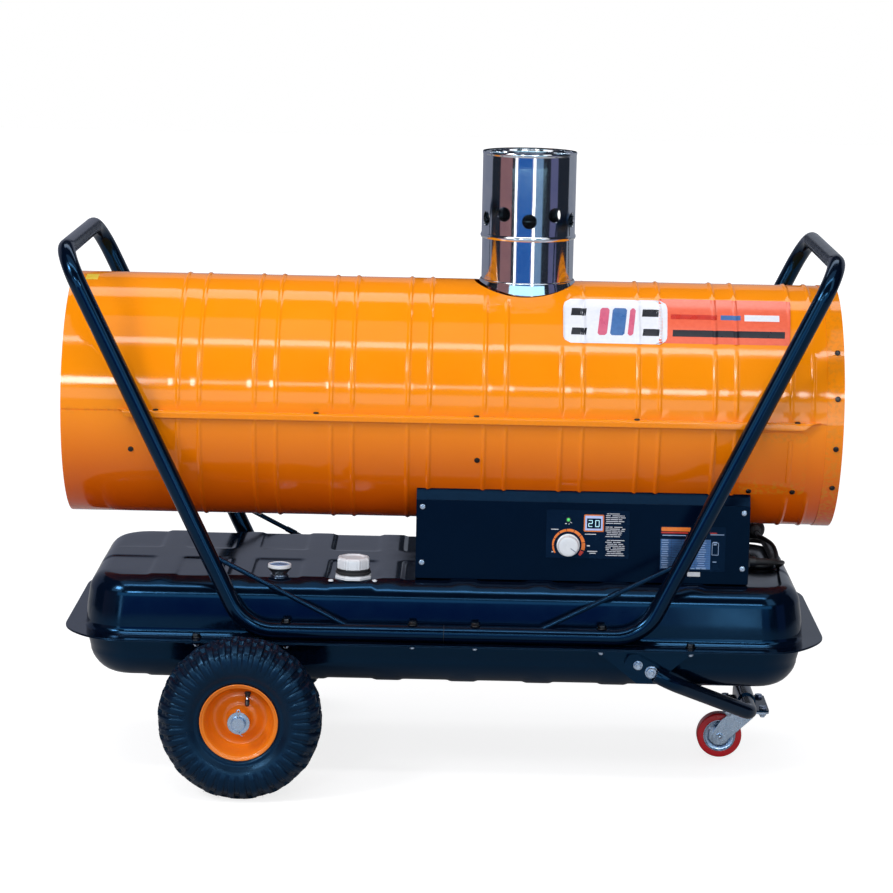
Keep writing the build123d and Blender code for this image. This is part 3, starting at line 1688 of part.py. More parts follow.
def power_plug():
    """The moulded plug, with its boot and two round pins."""
    z = plug_height()
    front = plug_y + plug_body
    body = bar((plug_x, plug_y, z), (plug_x, front, z), plug_radius)
    body = fillet(body.edges().group_by(SortBy.LENGTH)[-1], plug_round)
    start = Plane(origin=(plug_x, plug_y - plug_boot, z), z_dir=(0, 1, 0))
    end = Plane(origin=(plug_x, plug_y + plug_boot_lap, z), z_dir=(0, 1, 0))
    small = start * Circle(plug_boot_radius)
    large = end * Circle(plug_boot_end)
    body += loft([small.face(), large.face()])
    for side in (-1, 1):
        x = plug_x + side * plug_pin_half_spacing
        body += bar((x, front - over, z), (x, front + plug_pin_length, z), plug_pin_radius)
    return body


def nodes():
    """Every node of the heater with the shape that it holds."""
    yield "upper_casing", upper_casing()
    yield "lower_casing", lower_casing()
    yield "outlet_ring", outlet_ring()
    yield "intake_ring", intake_ring()
    yield "intake_guard", intake_guard()
    yield "service_cover", service_cover()
    yield "sheet_screws", sheet_screws()
    yield "flue_collar", flue_collar()
    yield "chimney_pipe", chimney_pipe()
    yield "chimney_cup", chimney_cup()
    yield "heat_exchanger", heat_exchanger()
    yield "combustion_chamber", combustion_chamber()
    yield "burner_head", burner_head()
    yield "fan_motor", motor_body()
    yield "motor_bracket", motor_bracket()
    yield "fuel_pump", fuel_pump()
    yield "fan_shaft", fan_shaft()
    yield "fan_impeller", fan_impeller()
    yield "pedestal", pedestal()
    yield "control_face", control_face()
    yield "control_panel", control_panel()
    yield "rating_plate", rating_plate()
    yield "thermostat_knob", thermostat_knob()
    yield "thermostat_body", thermostat_body()
    yield "ignition_transformer", ignition_transformer()
    yield "control_board", control_board()
    yield "cord_gland", cord_gland()
    yield "power_cord", power_cord()
    yield "cord_coil", cord_coil()
    yield "power_plug", power_plug()
    yield "tank_upper", tank_upper()
    yield "tank_lower", tank_lower()
    yield "filler_neck", filler_neck()
    yield "filler_strainer", filler_strainer()
    yield "cap_gasket", cap_gasket()
    yield "fuel_cap", fuel_cap()
    yield "fuel_gauge", fuel_gauge()
    yield "float_arm", float_arm()
    yield "drain_plug", drain_plug()
    yield "fuel_line", fuel_line()
    yield "left_handle", handle(-1)
    yield "right_handle", handle(1)
    yield "brace_rods", brace_rods()
    yield "frame_bolts", frame_bolts()
    yield "wheel_brackets", wheel_brackets()
    yield "leg_brackets", leg_brackets()
    yield "wheel_axle", wheel_axle()
    yield "axle_washers", axle_washers()
    yield "near_tyre", tyre(-1)
    yield "far_tyre", tyre(1)
    yield "near_rim", rim(-1)
    yield "far_rim", rim(1)
    yield "caster_leg", caster_leg()
    yield "caster_saddle", caster_saddle()
    yield "caster_plate", caster_plate()
    yield "caster_fork", caster_fork()
    yield "caster_axle", caster_axle()
    yield "caster_hub", caster_hub()
    yield "caster_tyre", caster_tyre()


os.makedirs("parts", exist_ok=True)
for node_name, shape in nodes():
    export_step(shape, f"parts/{node_name}.step")
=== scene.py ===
import json
import math
import random

import bmesh
import bpy
from mathutils import Matrix, Vector


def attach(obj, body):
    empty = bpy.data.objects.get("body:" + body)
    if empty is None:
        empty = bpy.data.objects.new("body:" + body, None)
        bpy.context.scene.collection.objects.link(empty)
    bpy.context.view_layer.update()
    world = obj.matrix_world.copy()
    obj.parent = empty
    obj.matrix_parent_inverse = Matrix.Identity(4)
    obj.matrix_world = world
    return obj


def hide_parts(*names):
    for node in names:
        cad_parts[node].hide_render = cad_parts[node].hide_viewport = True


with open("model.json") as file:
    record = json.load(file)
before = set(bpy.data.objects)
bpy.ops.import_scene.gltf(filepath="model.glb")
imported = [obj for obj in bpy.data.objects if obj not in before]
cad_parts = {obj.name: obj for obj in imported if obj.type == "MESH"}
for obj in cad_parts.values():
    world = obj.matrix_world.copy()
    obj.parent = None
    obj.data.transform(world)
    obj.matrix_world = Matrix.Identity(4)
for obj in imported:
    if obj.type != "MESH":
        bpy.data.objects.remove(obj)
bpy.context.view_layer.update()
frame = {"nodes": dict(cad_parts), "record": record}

scene = bpy.context.scene
random.seed(7)

# Main sizes of the heater, in metres, as in the part's source
drum_z = 0.6
drum_radius = 0.197
drum_left = -0.619
drum_right = 0.625
joint_z = 0.6012
flue_x = 0.121
cup_bottom = 0.868
cup_top = 1.009
axle_x = -0.3215
axle_z = 0.13
wheel_y = 0.305
caster_wheel_x = 0.462
caster_x = 0.502
tube_y = 0.226


# Shapes

def at(x, y, z):
    return Matrix.Translation((x, y, z))


def rotation(degrees, axis):
    return Matrix.Rotation(math.radians(degrees), 4, axis)


TO_X = rotation(90, "Y")
TO_FRONT = rotation(90, "X")


def shift(bm, x, y, z):
    """Moves the whole shape."""
    bmesh.ops.translate(bm, verts=bm.verts[:], vec=(x, y, z))


def rotate(bm, degrees, axis):
    """Turns the whole shape about an axis through zero."""
    bmesh.ops.rotate(bm, verts=bm.verts[:], cent=(0, 0, 0), matrix=Matrix.Rotation(math.radians(degrees), 3, axis))


def spin(bm, axis, degrees, steps, closed=False):
    """Spins all of the shape about an axis through zero."""
    bmesh.ops.spin(bm, geom=bm.verts[:] + bm.edges[:], axis=axis, cent=(0, 0, 0), angle=math.radians(degrees),
                   steps=steps, use_merge=closed)


def weld(bm, distance=1e-6):
    bmesh.ops.remove_doubles(bm, verts=bm.verts[:], dist=distance)


def set_normals(bm):
    bmesh.ops.recalc_face_normals(bm, faces=bm.faces[:])


def line(bm, points, closed=False):
    """A line of edges through the points."""
    verts = [bm.verts.new(point) for point in points]
    ends = verts[1:] + verts[:1] if closed else verts[1:]
    return verts, [bm.edges.new(pair) for pair in zip(verts, ends)]


def parts_of(made):
    """The edges and the points of what an operator made."""
    return ([item for item in made if isinstance(item, bmesh.types.BMEdge)],
            [item for item in made if isinstance(item, bmesh.types.BMVert)])


def extended(bm, edges):
    """Extends a line of edges and gives the new edges and their points."""
    return parts_of(bmesh.ops.extrude_edge_only(bm, edges=edges)["geom"])


def edges_at(verts):
    return list({edge for vert in verts for edge in vert.link_edges})


def turned(profile, steps=48, closed=False):
    """A shape spun round Z from pairs of radius and height in millimetres."""
    bm = bmesh.new()
    line(bm, [(radius / 1000, 0, height / 1000) for radius, height in profile], closed)
    spin(bm, (0, 0, 1), 360, steps, True)
    weld(bm)
    set_normals(bm)
    return bm


def add(bm, shape, *places):
    """Puts a copy of a shape into bm at each place."""
    mesh = bpy.data.meshes.new("shape")
    shape.to_mesh(mesh)
    for place in places:
        start = len(bm.verts)
        bm.from_mesh(mesh)
        bm.verts.ensure_lookup_table()
        bmesh.ops.transform(bm, matrix=place, verts=bm.verts[start:])
    bpy.data.meshes.remove(mesh)


def placed(shape, *places):
    """A new shape from copies of one at each place; the first is used up."""
    bm = bmesh.new()
    add(bm, shape, *places)
    shape.free()
    return bm


def linked(name, data):
    obj = bpy.data.objects.new(name, data)
    scene.collection.objects.link(obj)
    return obj


def mesh_of(name, bm):
    mesh = bpy.data.meshes.new(name)
    bm.to_mesh(mesh)
    bm.free()
    return mesh


def piece(name, bm, finish, body="heater", stands_for=None, sharp=35.0):
    """Makes the shape an object in its finish that moves with a body of the heater."""
    mesh = mesh_of(name, bm)
    mesh.shade_smooth()
    mesh.set_sharp_from_angle(angle=math.radians(sharp))
    mesh.materials.append(finishes[finish])
    obj = linked(name, mesh)
    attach(obj, body)
    if stands_for:
        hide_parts(stands_for)
    return obj


def prism(width, depth, height, corner=0.0, corner_steps=6, edge=0.0):
    """A box on the ground with rounded upright corners and a softened top edge."""
    bm = bmesh.new()
    bmesh.ops.create_cube(bm, size=1.0)
    bmesh.ops.scale(bm, verts=bm.verts[:], vec=(width, depth, height))
    shift(bm, 0, 0, height / 2)
    if corner:
        upright = [side for side in bm.edges if abs(side.verts[0].co.z - side.verts[1].co.z) > height / 2]
        bmesh.ops.bevel(bm, geom=upright, offset=corner, segments=corner_steps, profile=0.5,
                        affect="EDGES", material=-1)
    if edge:
        rim = [side for side in bm.edges if all(abs(vert.co.z - height) < 1e-7 for vert in side.verts)
               and side.calc_face_angle(0) > 1]
        bmesh.ops.bevel(bm, geom=rim, offset=edge, segments=2, profile=0.5,
                        affect="EDGES", material=-1)
    return bm


def cut_rows(bm, axis, places):
    """Cuts the shape straight across at each place, to give it rows of points."""
    normal = Vector([1.0 if number == axis else 0.0 for number in range(3)])
    for place in places:
        bmesh.ops.bisect_plane(bm, geom=bm.verts[:] + bm.edges[:] + bm.faces[:], dist=1e-6,
                               plane_co=normal * place, plane_no=normal)


def smooth(low, high, value):
    share = max(0.0, min(1.0, (value - low) / (high - low)))
    return share * share * (3 - 2 * share)


def soften(obj, width, steps=2):
    """Rounds off the sharp edges of a piece."""
    edge = obj.modifiers.new("edge", "BEVEL")
    edge.width = width
    edge.segments = steps
    edge.limit_method = "ANGLE"
    edge.harden_normals = False


def thicken(obj, thickness, offset=-1.0):
    """Gives a sheet its thickness, with crisp open edges."""
    mesh = obj.data
    bm = bmesh.new()
    bm.from_mesh(mesh)
    for edge in bm.edges:
        if edge.is_boundary:
            edge.smooth = False
    bm.to_mesh(mesh)
    bm.free()
    wall = obj.modifiers.new("wall", "SOLIDIFY")
    wall.thickness = thickness
    wall.offset = offset


def cross_screw(radius, height):
    """A pan head with a cross recess."""
    bm = bmesh.new()
    ring = bmesh.ops.create_circle(bm, segments=20, radius=radius)["verts"]
    edges = edges_at(ring)
    for share, up in ((1.0, 0.45), (0.93, 0.75), (0.76, 0.93), (0.58, 1.0)):
        edges, verts = extended(bm, edges)
        for vert in verts:
            scale = share * radius / math.hypot(vert.co.x, vert.co.y)
            vert.co.x *= scale
            vert.co.y *= scale
            vert.co.z = up * height
    grid = bmesh.ops.create_grid(bm, x_segments=3, y_segments=3, size=radius * 0.46)["verts"]
    corners = [face for face in {face for vert in grid for face in vert.link_faces}
               if abs(face.calc_center_median().x) > 1e-6 and abs(face.calc_center_median().y) > 1e-6]
    bmesh.ops.delete(bm, geom=corners, context="FACES")
    grid = [vert for vert in grid if vert.is_valid]
    for vert in grid:
        for axis in (0, 1):
            if abs(vert.co[axis]) < radius * 0.3:
                vert.co[axis] *= 0.62
        vert.co.z = height
    plus = [edge for edge in edges_at(grid) if edge.is_boundary]
    cross = list({face for vert in grid for face in vert.link_faces})
    bmesh.ops.bridge_loops(bm, edges=edges + plus)
    made = bmesh.ops.extrude_face_region(bm, geom=cross)["geom"]
    bmesh.ops.delete(bm, geom=[face for face in cross if face.is_valid], context="FACES_ONLY")
    bmesh.ops.translate(bm, verts=parts_of(made)[1], vec=(0, 0, -0.45 * height))
    set_normals(bm)
    return bm


def hex_nut(radius, height):
    """A hexagon with its corners chamfered above, standing on its base."""
    bm = bmesh.new()
    bmesh.ops.create_circle(bm, segments=36, radius=radius)
    edges = bm.edges[:]
    step = math.radians(60)
    rows = ((0.0, 1.0), (height * 0.82, 1.0), (height, 0.93), (height, 0.6), (height * 0.99, 0.52))
    for number, (up, share) in enumerate(rows):
        if number:
            edges, verts = extended(bm, edges)
        else:
            verts = bm.verts[:]
        for vert in verts:
            angle = math.atan2(vert.co.y, vert.co.x)
            off = (angle + step / 2) % step - step / 2
            flat = radius * math.cos(step / 2) / math.cos(off)
            limit = radius * (1.0 if up < height * 0.9 else 0.955)
            out = min(flat, limit) * share
            if number == 1:
                vert.co.z = height * (0.82 if abs(off) < 0.3 else 0.72)
            else:
                vert.co.z = up
            vert.co.x = out * math.cos(angle)
            vert.co.y = out * math.sin(angle)
    bmesh.ops.contextual_create(bm, geom=edges)
    set_normals(bm)
    return bm


def flat_washer(radius, bore, height):
    """A ring with its sizes in millimetres."""
    return turned([(bore, 0), (radius, 0), (radius, height * 0.7), (radius - 0.3, height), (bore, height)], 40,
                  closed=True)


# Shader groups

def shader_group(name, inputs, outputs):
    """An empty node group with its named sockets; a number's second value is its default."""
    tree = bpy.data.node_groups.new(name, "ShaderNodeTree")
    for label, kind, default in inputs:
        socket = tree.interface.new_socket(label, in_out="INPUT", socket_type="NodeSocket" + kind)
        if default is not None:
            socket.default_value = default
    for label, kind in outputs:
        tree.interface.new_socket(label, in_out="OUTPUT", socket_type="NodeSocket" + kind)
    start = tree.nodes.new("NodeGroupInput")
    end = tree.nodes.new("NodeGroupOutput")
    return tree, start, end


def node(tree, kind, values=(), links=(), **settings):
    """Adds a node, sets its values by socket and links its inputs."""
    made = tree.nodes.new("ShaderNode" + kind)
    for key, value in settings.items():
        setattr(made, key, value)
    for key, value in dict(values).items():
        made.inputs[key].default_value = value
    for key, source in dict(links).items():
        tree.links.new(source, made.inputs[key])
    return made


def make_patches():
    """Soft patches: a value from 0 to 1 that wanders over the surface."""
    tree, start, end = shader_group(
        "patches",
        [("Scale", "Float", 10.0), ("Detail", "Float", 3.0), ("Low", "Float", 0.4), ("High", "Float", 0.6),
         ("Stretch", "Vector", (1.0, 1.0, 1.0))],
        [("Value", "Float")])
    place = node(tree, "TexCoord")
    stretch = node(tree, "VectorMath", operation="MULTIPLY",
                   links={0: place.outputs["Object"], 1: start.outputs["Stretch"]})
    noise = node(tree, "TexNoise", links={"Vector": stretch.outputs[0], "Scale": start.outputs["Scale"],
                                          "Detail": start.outputs["Detail"]})
    spread = node(tree, "MapRange", links={"Value": noise.outputs["Fac"], "From Min": start.outputs["Low"],
                                           "From Max": start.outputs["High"]})
    tree.links.new(spread.outputs[0], end.inputs["Value"])
    return tree


def make_edge_wear():
    """Where the surface stands out: its raised edges, broken up by fine patches."""
    tree, start, end = shader_group(
        "edge_wear", [("Reach", "Float", 0.06), ("Scale", "Float", 120.0)], [("Mask", "Float")])
    shape = node(tree, "NewGeometry")
    place = node(tree, "TexCoord")
    edge = node(tree, "MapRange", values={"From Min": 0.53},
                links={"Value": shape.outputs["Pointiness"]})
    top = node(tree, "Math", operation="ADD", values={0: 0.53}, links={1: start.outputs["Reach"]})
    tree.links.new(top.outputs[0], edge.inputs["From Max"])
    noise = node(tree, "TexNoise", values={"Detail": 4.0},
                 links={"Vector": place.outputs["Object"], "Scale": start.outputs["Scale"]})
    broken = node(tree, "MapRange", values={"From Min": 0.45, "From Max": 0.62},
                  links={"Value": noise.outputs["Fac"]})
    both = node(tree, "Math", operation="MULTIPLY", use_clamp=True,
                links={0: edge.outputs[0], 1: broken.outputs[0]})
    tree.links.new(both.outputs[0], end.inputs["Mask"])
    return tree


def make_dust():
    """Fine dust that settles on what faces up."""
    tree, start, end = shader_group("dust", [("Amount", "Float", 0.1)], [("Mask", "Float")])
    shape = node(tree, "NewGeometry")
    place = node(tree, "TexCoord")
    split = node(tree, "SeparateXYZ", links={0: shape.outputs["Normal"]})
    up = node(tree, "MapRange", values={"From Min": 0.2, "From Max": 1.0}, links={"Value": split.outputs["Z"]})
    noise = node(tree, "TexNoise", values={"Scale": 22.0, "Detail": 6.0}, links={"Vector": place.outputs["Object"]})
    cloud = node(tree, "MapRange", values={"From Min": 0.35, "From Max": 0.75},
                 links={"Value": noise.outputs["Fac"]})
    first = node(tree, "Math", operation="MULTIPLY", links={0: up.outputs[0], 1: cloud.outputs[0]})
    both = node(tree, "Math", operation="MULTIPLY", use_clamp=True,
                links={0: first.outputs[0], 1: start.outputs["Amount"]})
    tree.links.new(both.outputs[0], end.inputs["Mask"])
    return tree


def make_downward():
    """How far the surface faces down, from none at upright to all when facing straight down: the mask for painted
    shade.
    """
    tree, start, end = shader_group("downward", [("Amount", "Float", 1.0)], [("Mask", "Float")])
    shape = node(tree, "NewGeometry")
    split = node(tree, "SeparateXYZ", links={0: shape.outputs["Normal"]})
    down = node(tree, "MapRange", values={"From Min": 0.05, "From Max": -0.85}, links={"Value": split.outputs["Z"]})
    both = node(tree, "Math", operation="MULTIPLY", use_clamp=True,
                links={0: down.outputs[0], 1: start.outputs["Amount"]})
    tree.links.new(both.outputs[0], end.inputs["Mask"])
    return tree


def make_relief():
    """The height of a fine grain, with a coarser wave under it."""
    tree, start, end = shader_group(
        "relief", [("Fine", "Float", 900.0), ("Coarse", "Float", 120.0), ("Share", "Float", 0.5),
                   ("Stretch", "Vector", (1.0, 1.0, 1.0))], [("Height", "Float")])
    place = node(tree, "TexCoord")
    stretch = node(tree, "VectorMath", operation="MULTIPLY",
                   links={0: place.outputs["Object"], 1: start.outputs["Stretch"]})
    fine = node(tree, "TexNoise", values={"Detail": 2.0},
                links={"Vector": stretch.outputs[0], "Scale": start.outputs["Fine"]})
    coarse = node(tree, "TexNoise", values={"Detail": 2.0},
                  links={"Vector": stretch.outputs[0], "Scale": start.outputs["Coarse"]})
    mix = node(tree, "Mix", data_type="FLOAT", links={0: start.outputs["Share"], 2: coarse.outputs["Fac"],
                                                      3: fine.outputs["Fac"]})
    tree.links.new(mix.outputs[0], end.inputs["Height"])
    return tree


patches = make_patches()
edge_wear = make_edge_wear()
dust = make_dust()
downward = make_downward()
relief = make_relief()


class Finish:
    """A material on one Principled shader, built up in steps."""

    def __init__(self, name, colour, roughness, metallic=0.0, sockets=None):
        self.material = bpy.data.materials.new(name)
        self.material.use_nodes = True
        self.tree = self.material.node_tree
        self.shader = self.tree.nodes["Principled BSDF"]
        self.shader.inputs["Metallic"].default_value = metallic
        for label, value in (sockets or {}).items():
            self.shader.inputs[label].default_value = value
        self.colour = self.mixed((*colour, 1), (*colour, 1), None)
        self.roughness = None
        self.base_roughness = roughness

    def group(self, tree, **values):
        made = node(self.tree, "Group", node_tree=tree)
        for label, value in values.items():
            made.inputs[label.title()].default_value = value
        return made.outputs[0]

    def mixed(self, first, second, share):
        made = node(self.tree, "Mix", data_type="RGBA")
        for index, value in ((6, first), (7, second)):
            if isinstance(value, bpy.types.NodeSocket):
                self.tree.links.new(value, made.inputs[index])
            else:
                made.inputs[index].default_value = value
        if share is None:
            made.inputs[0].default_value = 0.0
        else:
            self.tree.links.new(share, made.inputs[0])
        return made.outputs[2]

    def tint(self, colour, mask):
        """Lays a second colour over the first where the mask is."""
        self.colour = self.mixed(self.colour, (*colour, 1), mask)
        return self

    def rough(self, low, high, mask):
        """Makes the roughness run from low to high with the mask."""
        spread = node(self.tree, "MapRange", values={"To Min": low, "To Max": high}, links={"Value": mask})
        self.roughness = spread.outputs[0]
        return self

    def bump(self, height, distance, strength=1.0):
        made = node(self.tree, "Bump", values={"Distance": distance, "Strength": strength},
                    links={"Height": height})
        previous = self.shader.inputs["Normal"].links
        if previous:
            self.tree.links.new(previous[0].from_socket, made.inputs["Normal"])
        self.tree.links.new(made.outputs[0], self.shader.inputs["Normal"])
        return self

    def done(self):
        self.tree.links.new(self.colour, self.shader.inputs["Base Color"])
        if self.roughness is None:
            self.shader.inputs["Roughness"].default_value = self.base_roughness
        else:
            self.tree.links.new(self.roughness, self.shader.inputs["Roughness"])
        return self.material


def painted(name, colour, roughness, shade, chip, grain=0.5, dusty=0.05, worn=0.12, sockets=None, painted_shade_below=None):
    """Paint on sheet metal: orange peel, faint cloudiness, dust on top, thin worn edges and, where a colour is
    given, painted shade on what faces down.
    """
    finish = Finish(name, colour, roughness, sockets=sockets)
    cloud = finish.group(patches, scale=9.0, detail=4.0, low=0.35, high=0.7)
    finish.tint(shade, cloud)
    # Painted shade: a redder, darker colour laid over the surfaces that face down, where less light falls.
    if painted_shade_below:
        finish.tint(painted_shade_below, finish.group(downward, amount=1.0))
    finish.rough(roughness * 0.85, roughness * 1.25,
                 finish.group(patches, scale=30.0, detail=5.0, low=0.3, high=0.7))
    finish.tint((0.42, 0.4, 0.37), finish.group(dust, amount=dusty))
    finish.tint(chip, finish.group(edge_wear, reach=worn, scale=160.0))
    finish.bump(finish.group(relief, fine=1400.0, coarse=260.0, share=0.3), 0.0001, grain)
    return finish.done()


def metal(name, colour, shade, roughness, stretch=(1.0, 1.0, 1.0), grain=0.4, fine=900.0, spots=40.0):
    """Bare or plated metal: mottled colour and gloss, with fine lines along one way."""
    finish = Finish(name, colour, roughness, metallic=1.0)
    finish.tint(shade, finish.group(patches, scale=spots, detail=5.0, low=0.3, high=0.75))
    finish.rough(roughness * 0.7, roughness * 1.5,
                 finish.group(patches, scale=spots * 1.7, detail=4.0, low=0.3, high=0.7, stretch=stretch))
    finish.bump(finish.group(relief, fine=fine, coarse=fine / 7, share=0.6, stretch=stretch), 0.0001, grain)
    return finish.done()


def moulded(name, colour, shade, roughness, grain=0.3, fine=1500.0, dusty=0.06, sockets=None):
    """Moulded plastic or rubber: fine texture, faint shade and dust."""
    finish = Finish(name, colour, roughness, sockets=sockets)
    finish.tint(shade, finish.group(patches, scale=25.0, detail=5.0, low=0.35, high=0.7))
    finish.rough(roughness * 0.85, roughness * 1.2,
                 finish.group(patches, scale=60.0, detail=3.0, low=0.3, high=0.7))
    finish.tint((0.4, 0.38, 0.36), finish.group(dust, amount=dusty))
    finish.bump(finish.group(relief, fine=fine, coarse=fine / 6, share=0.7), 0.00015, grain)
    return finish.done()


def printed(name, colour, shade, roughness=0.3, glow=0.0):
    """Printed or foil colour: faint mottling and a fine dot texture."""
    finish = Finish(name, colour, roughness)
    finish.tint(shade, finish.group(patches, scale=140.0, detail=3.0, low=0.35, high=0.7))
    finish.rough(roughness * 0.8, roughness * 1.3, finish.group(patches, scale=60.0, detail=3.0, low=0.3, high=0.7))
    finish.bump(finish.group(relief, fine=2200.0, coarse=500.0, share=0.5), 0.00005, 0.3)
    if glow:
        finish.shader.inputs["Emission Strength"].default_value = glow
        finish.tree.links.new(finish.colour, finish.shader.inputs["Emission Color"])
    return finish.done()


def clear_plastic(name):
    """A clear lens: nearly smooth, with a few faint scuffs."""
    finish = Finish(name, (0.95, 0.97, 1.0), 0.04, sockets={"Transmission Weight": 1.0, "IOR": 1.45})
    finish.rough(0.02, 0.08, finish.group(patches, scale=200.0, detail=6.0, low=0.55, high=0.8))
    return finish.done()


blue_gloss = {"Specular IOR Level": 0.62, "Specular Tint": (0.13, 0.48, 1.0, 1.0)}
blue_satin = {"Specular IOR Level": 0.24, "Specular Tint": (0.13, 0.48, 1.0, 1.0)}

finishes = {}
for name, values, extra in (
        ("casing_paint", ((0.95, 0.285, 0.003), 0.085, (0.92, 0.268, 0.002), (0.8, 0.25, 0.01)),
         # The last colour here is painted shade: a redder, darker orange where the drum faces down.
         dict(grain=0.14, dusty=0.01, sockets={"Specular IOR Level": 0.42}, painted_shade_below=(0.88, 0.11, 0.001))),
        ("frame_paint", ((0.0004, 0.002, 0.0075), 0.13, (0.0007, 0.003, 0.0105), (0.001, 0.004, 0.015)),
         dict(grain=0.15, dusty=0.004, sockets=blue_gloss)),
        ("panel_paint", ((0.0003, 0.002, 0.0095), 0.2, (0.0005, 0.0028, 0.0125), (0.001, 0.004, 0.015)),
         dict(grain=0.25, dusty=0.004, sockets=blue_satin)),
        ("rim_paint", ((0.84, 0.215, 0.008), 0.18, (0.76, 0.18, 0.006), (0.5, 0.12, 0.02)),
         dict(grain=0.3, dusty=0.03))):
    finishes[name] = painted(name, *values, **extra)
for name, values in (
        ("stainless", ((0.7, 0.72, 0.76), (0.6, 0.64, 0.72), 0.08, (1.0, 1.0, 30.0), 0.12, 60.0)),
        ("heat_steel", ((0.42, 0.37, 0.34), (0.26, 0.27, 0.33), 0.36, (20.0, 1.0, 1.0), 0.5, 90.0, 14.0)),
        ("black_oxide", ((0.035, 0.035, 0.038), (0.06, 0.06, 0.062), 0.3, (1.0, 1.0, 1.0), 0.5, 700.0)),
        ("zinc", ((0.52, 0.62, 0.76), (0.44, 0.54, 0.68), 0.24, (1.0, 1.0, 1.0), 0.4, 600.0, 90.0)),
        ("motor_cast", ((0.52, 0.53, 0.54), (0.4, 0.41, 0.43), 0.42, (1.0, 1.0, 1.0), 1.0, 420.0)),
        ("fan_sheet", ((0.66, 0.67, 0.68), (0.55, 0.56, 0.58), 0.3, (1.0, 12.0, 1.0), 0.5, 200.0)),
        ("mesh_steel", ((0.6, 0.6, 0.6), (0.45, 0.45, 0.46), 0.34, (1.0, 1.0, 1.0), 1.0, 1800.0)),
        ("copper_line", ((0.66, 0.34, 0.18), (0.42, 0.22, 0.13), 0.26, (1.0, 1.0, 1.0), 0.4, 500.0)),
        ("plate_foil", ((0.1, 0.22, 0.46), (0.08, 0.18, 0.4), 0.34, (1.0, 1.0, 40.0), 0.3, 60.0))):
    finishes[name] = metal(name, *values)
for name, values in (
        ("tyre_rubber", ((0.0006, 0.004, 0.014), (0.0012, 0.006, 0.019), 0.32, 0.6, 1100.0, 0.006,
                         {"Specular IOR Level": 0.5, "Specular Tint": (0.2, 0.55, 1.0, 1.0)})),
        ("caster_tread", ((0.66, 0.008, 0.018), (0.56, 0.006, 0.014), 0.3, 0.3, 900.0, 0.01)),
        ("panel_film", ((0.0015, 0.006, 0.02), (0.0022, 0.008, 0.026), 0.24, 0.2, 1500.0, 0.0, blue_satin)),
        ("knob_plastic", ((0.78, 0.82, 0.88), (0.7, 0.75, 0.82), 0.26, 0.2)),
        ("dark_plastic", ((0.01, 0.012, 0.018), (0.016, 0.019, 0.026), 0.36, 0.5, 1500.0, 0.03)),
        ("cap_plastic", ((0.74, 0.78, 0.84), (0.64, 0.68, 0.75), 0.2, 0.2, 1500.0, 0.02)),
        ("gasket_rubber", ((0.008, 0.009, 0.012), (0.013, 0.014, 0.018), 0.6, 0.6, 1500.0, 0.02)),
        ("cord_rubber", ((0.01, 0.011, 0.015), (0.016, 0.017, 0.022), 0.46, 0.5, 1300.0, 0.04)),
        ("board_green", ((0.03, 0.15, 0.06), (0.02, 0.1, 0.045), 0.36, 0.5, 500.0)),
        ("float_foam", ((0.7, 0.66, 0.52), (0.6, 0.55, 0.42), 0.7, 1.0, 700.0))):
    finishes[name] = moulded(name, *values)
for name, values in (
        ("band_red", ((0.84, 0.15, 0.08), (0.8, 0.13, 0.07), 0.16)),
        ("label_white", ((0.8, 0.82, 0.9), (0.74, 0.77, 0.87), 0.18)),
        ("label_yellow", ((0.86, 0.62, 0.06), (0.82, 0.56, 0.05), 0.25)),
        ("print_black", ((0.01, 0.012, 0.02), (0.016, 0.018, 0.028))),
        ("print_white", ((0.72, 0.74, 0.8), (0.62, 0.65, 0.72))),
        ("print_pale", ((0.36, 0.5, 0.74), (0.28, 0.42, 0.68))),
        ("print_grey", ((0.3, 0.34, 0.42), (0.24, 0.28, 0.36))),
        ("print_orange", ((0.86, 0.22, 0.03), (0.78, 0.18, 0.02))),
        ("print_red", ((0.62, 0.035, 0.02), (0.52, 0.028, 0.016))),
        ("print_rose", ((0.66, 0.12, 0.22), (0.58, 0.1, 0.2))),
        ("print_blue", ((0.05, 0.16, 0.42), (0.04, 0.13, 0.36))),
        ("lamp_green", ((0.1, 0.62, 0.16), (0.06, 0.5, 0.12), 0.15, 0.5)),
        ("display_glow", ((0.42, 0.5, 0.8), (0.36, 0.44, 0.74), 0.15, 0.25)),
        ("digit_glow", ((0.55, 0.85, 0.95), (0.45, 0.75, 0.88), 0.15, 0.4)),
        ("dial_face", ((0.3, 0.46, 0.74), (0.24, 0.4, 0.68), 0.3))):
    finishes[name] = printed(name, *values)
finishes["clear_lens"] = clear_plastic("clear_lens")

# CAD pieces keep their shapes and get their finishes
for part in frame["record"]["subparts"]:
    carried = frame["nodes"][part["node"]].data
    carried.materials.clear()
    carried.materials.append(finishes[part["material_slot"]])


# The cord with its coil, in metres

def half_turn(x, y, z, radius, first):
    """Points round one end of the coil, from the angle first in degrees, turning one way."""
    reach = radius / math.cos(math.radians(15))
    for step in range(6):
        angle = math.radians(first + 15 + 30 * step)
        yield (x + reach * math.cos(angle), y + reach * math.sin(angle), z)


def cord_points():
    points = [(0.498, -0.118, 0.36), (0.5195, -0.118, 0.36), (0.5386, -0.107, 0.357), (0.5496, -0.088, 0.353),
              (0.5496, -0.064, 0.346), (0.5496, -0.041, 0.3385), (0.5496, -0.02, 0.3325), (0.5496, 0.0, 0.3325)]
    low = 0.3325
    high = 0.3399
    points += half_turn(0.521, 0.16, low, 0.0286, 0)
    points += half_turn(0.5173, 0.0, low, 0.0249, 180)
    points += half_turn(0.521, 0.16, low, 0.0212, 0)
    points += half_turn(0.521, 0.0, high, 0.0212, 180)
    points += half_turn(0.5173, 0.16, high, 0.0249, 0)
    points += half_turn(0.521, 0.0, high, 0.0286, 180)
    points += [(0.5496, 0.016, 0.3399), (0.5492, 0.0325, 0.3454), (0.5458, 0.048, 0.3534), (0.5375, 0.0625, 0.358),
               (0.5291, 0.078, 0.36), (0.524, 0.094, 0.3605), (0.524, 0.11, 0.3605)]
    return points


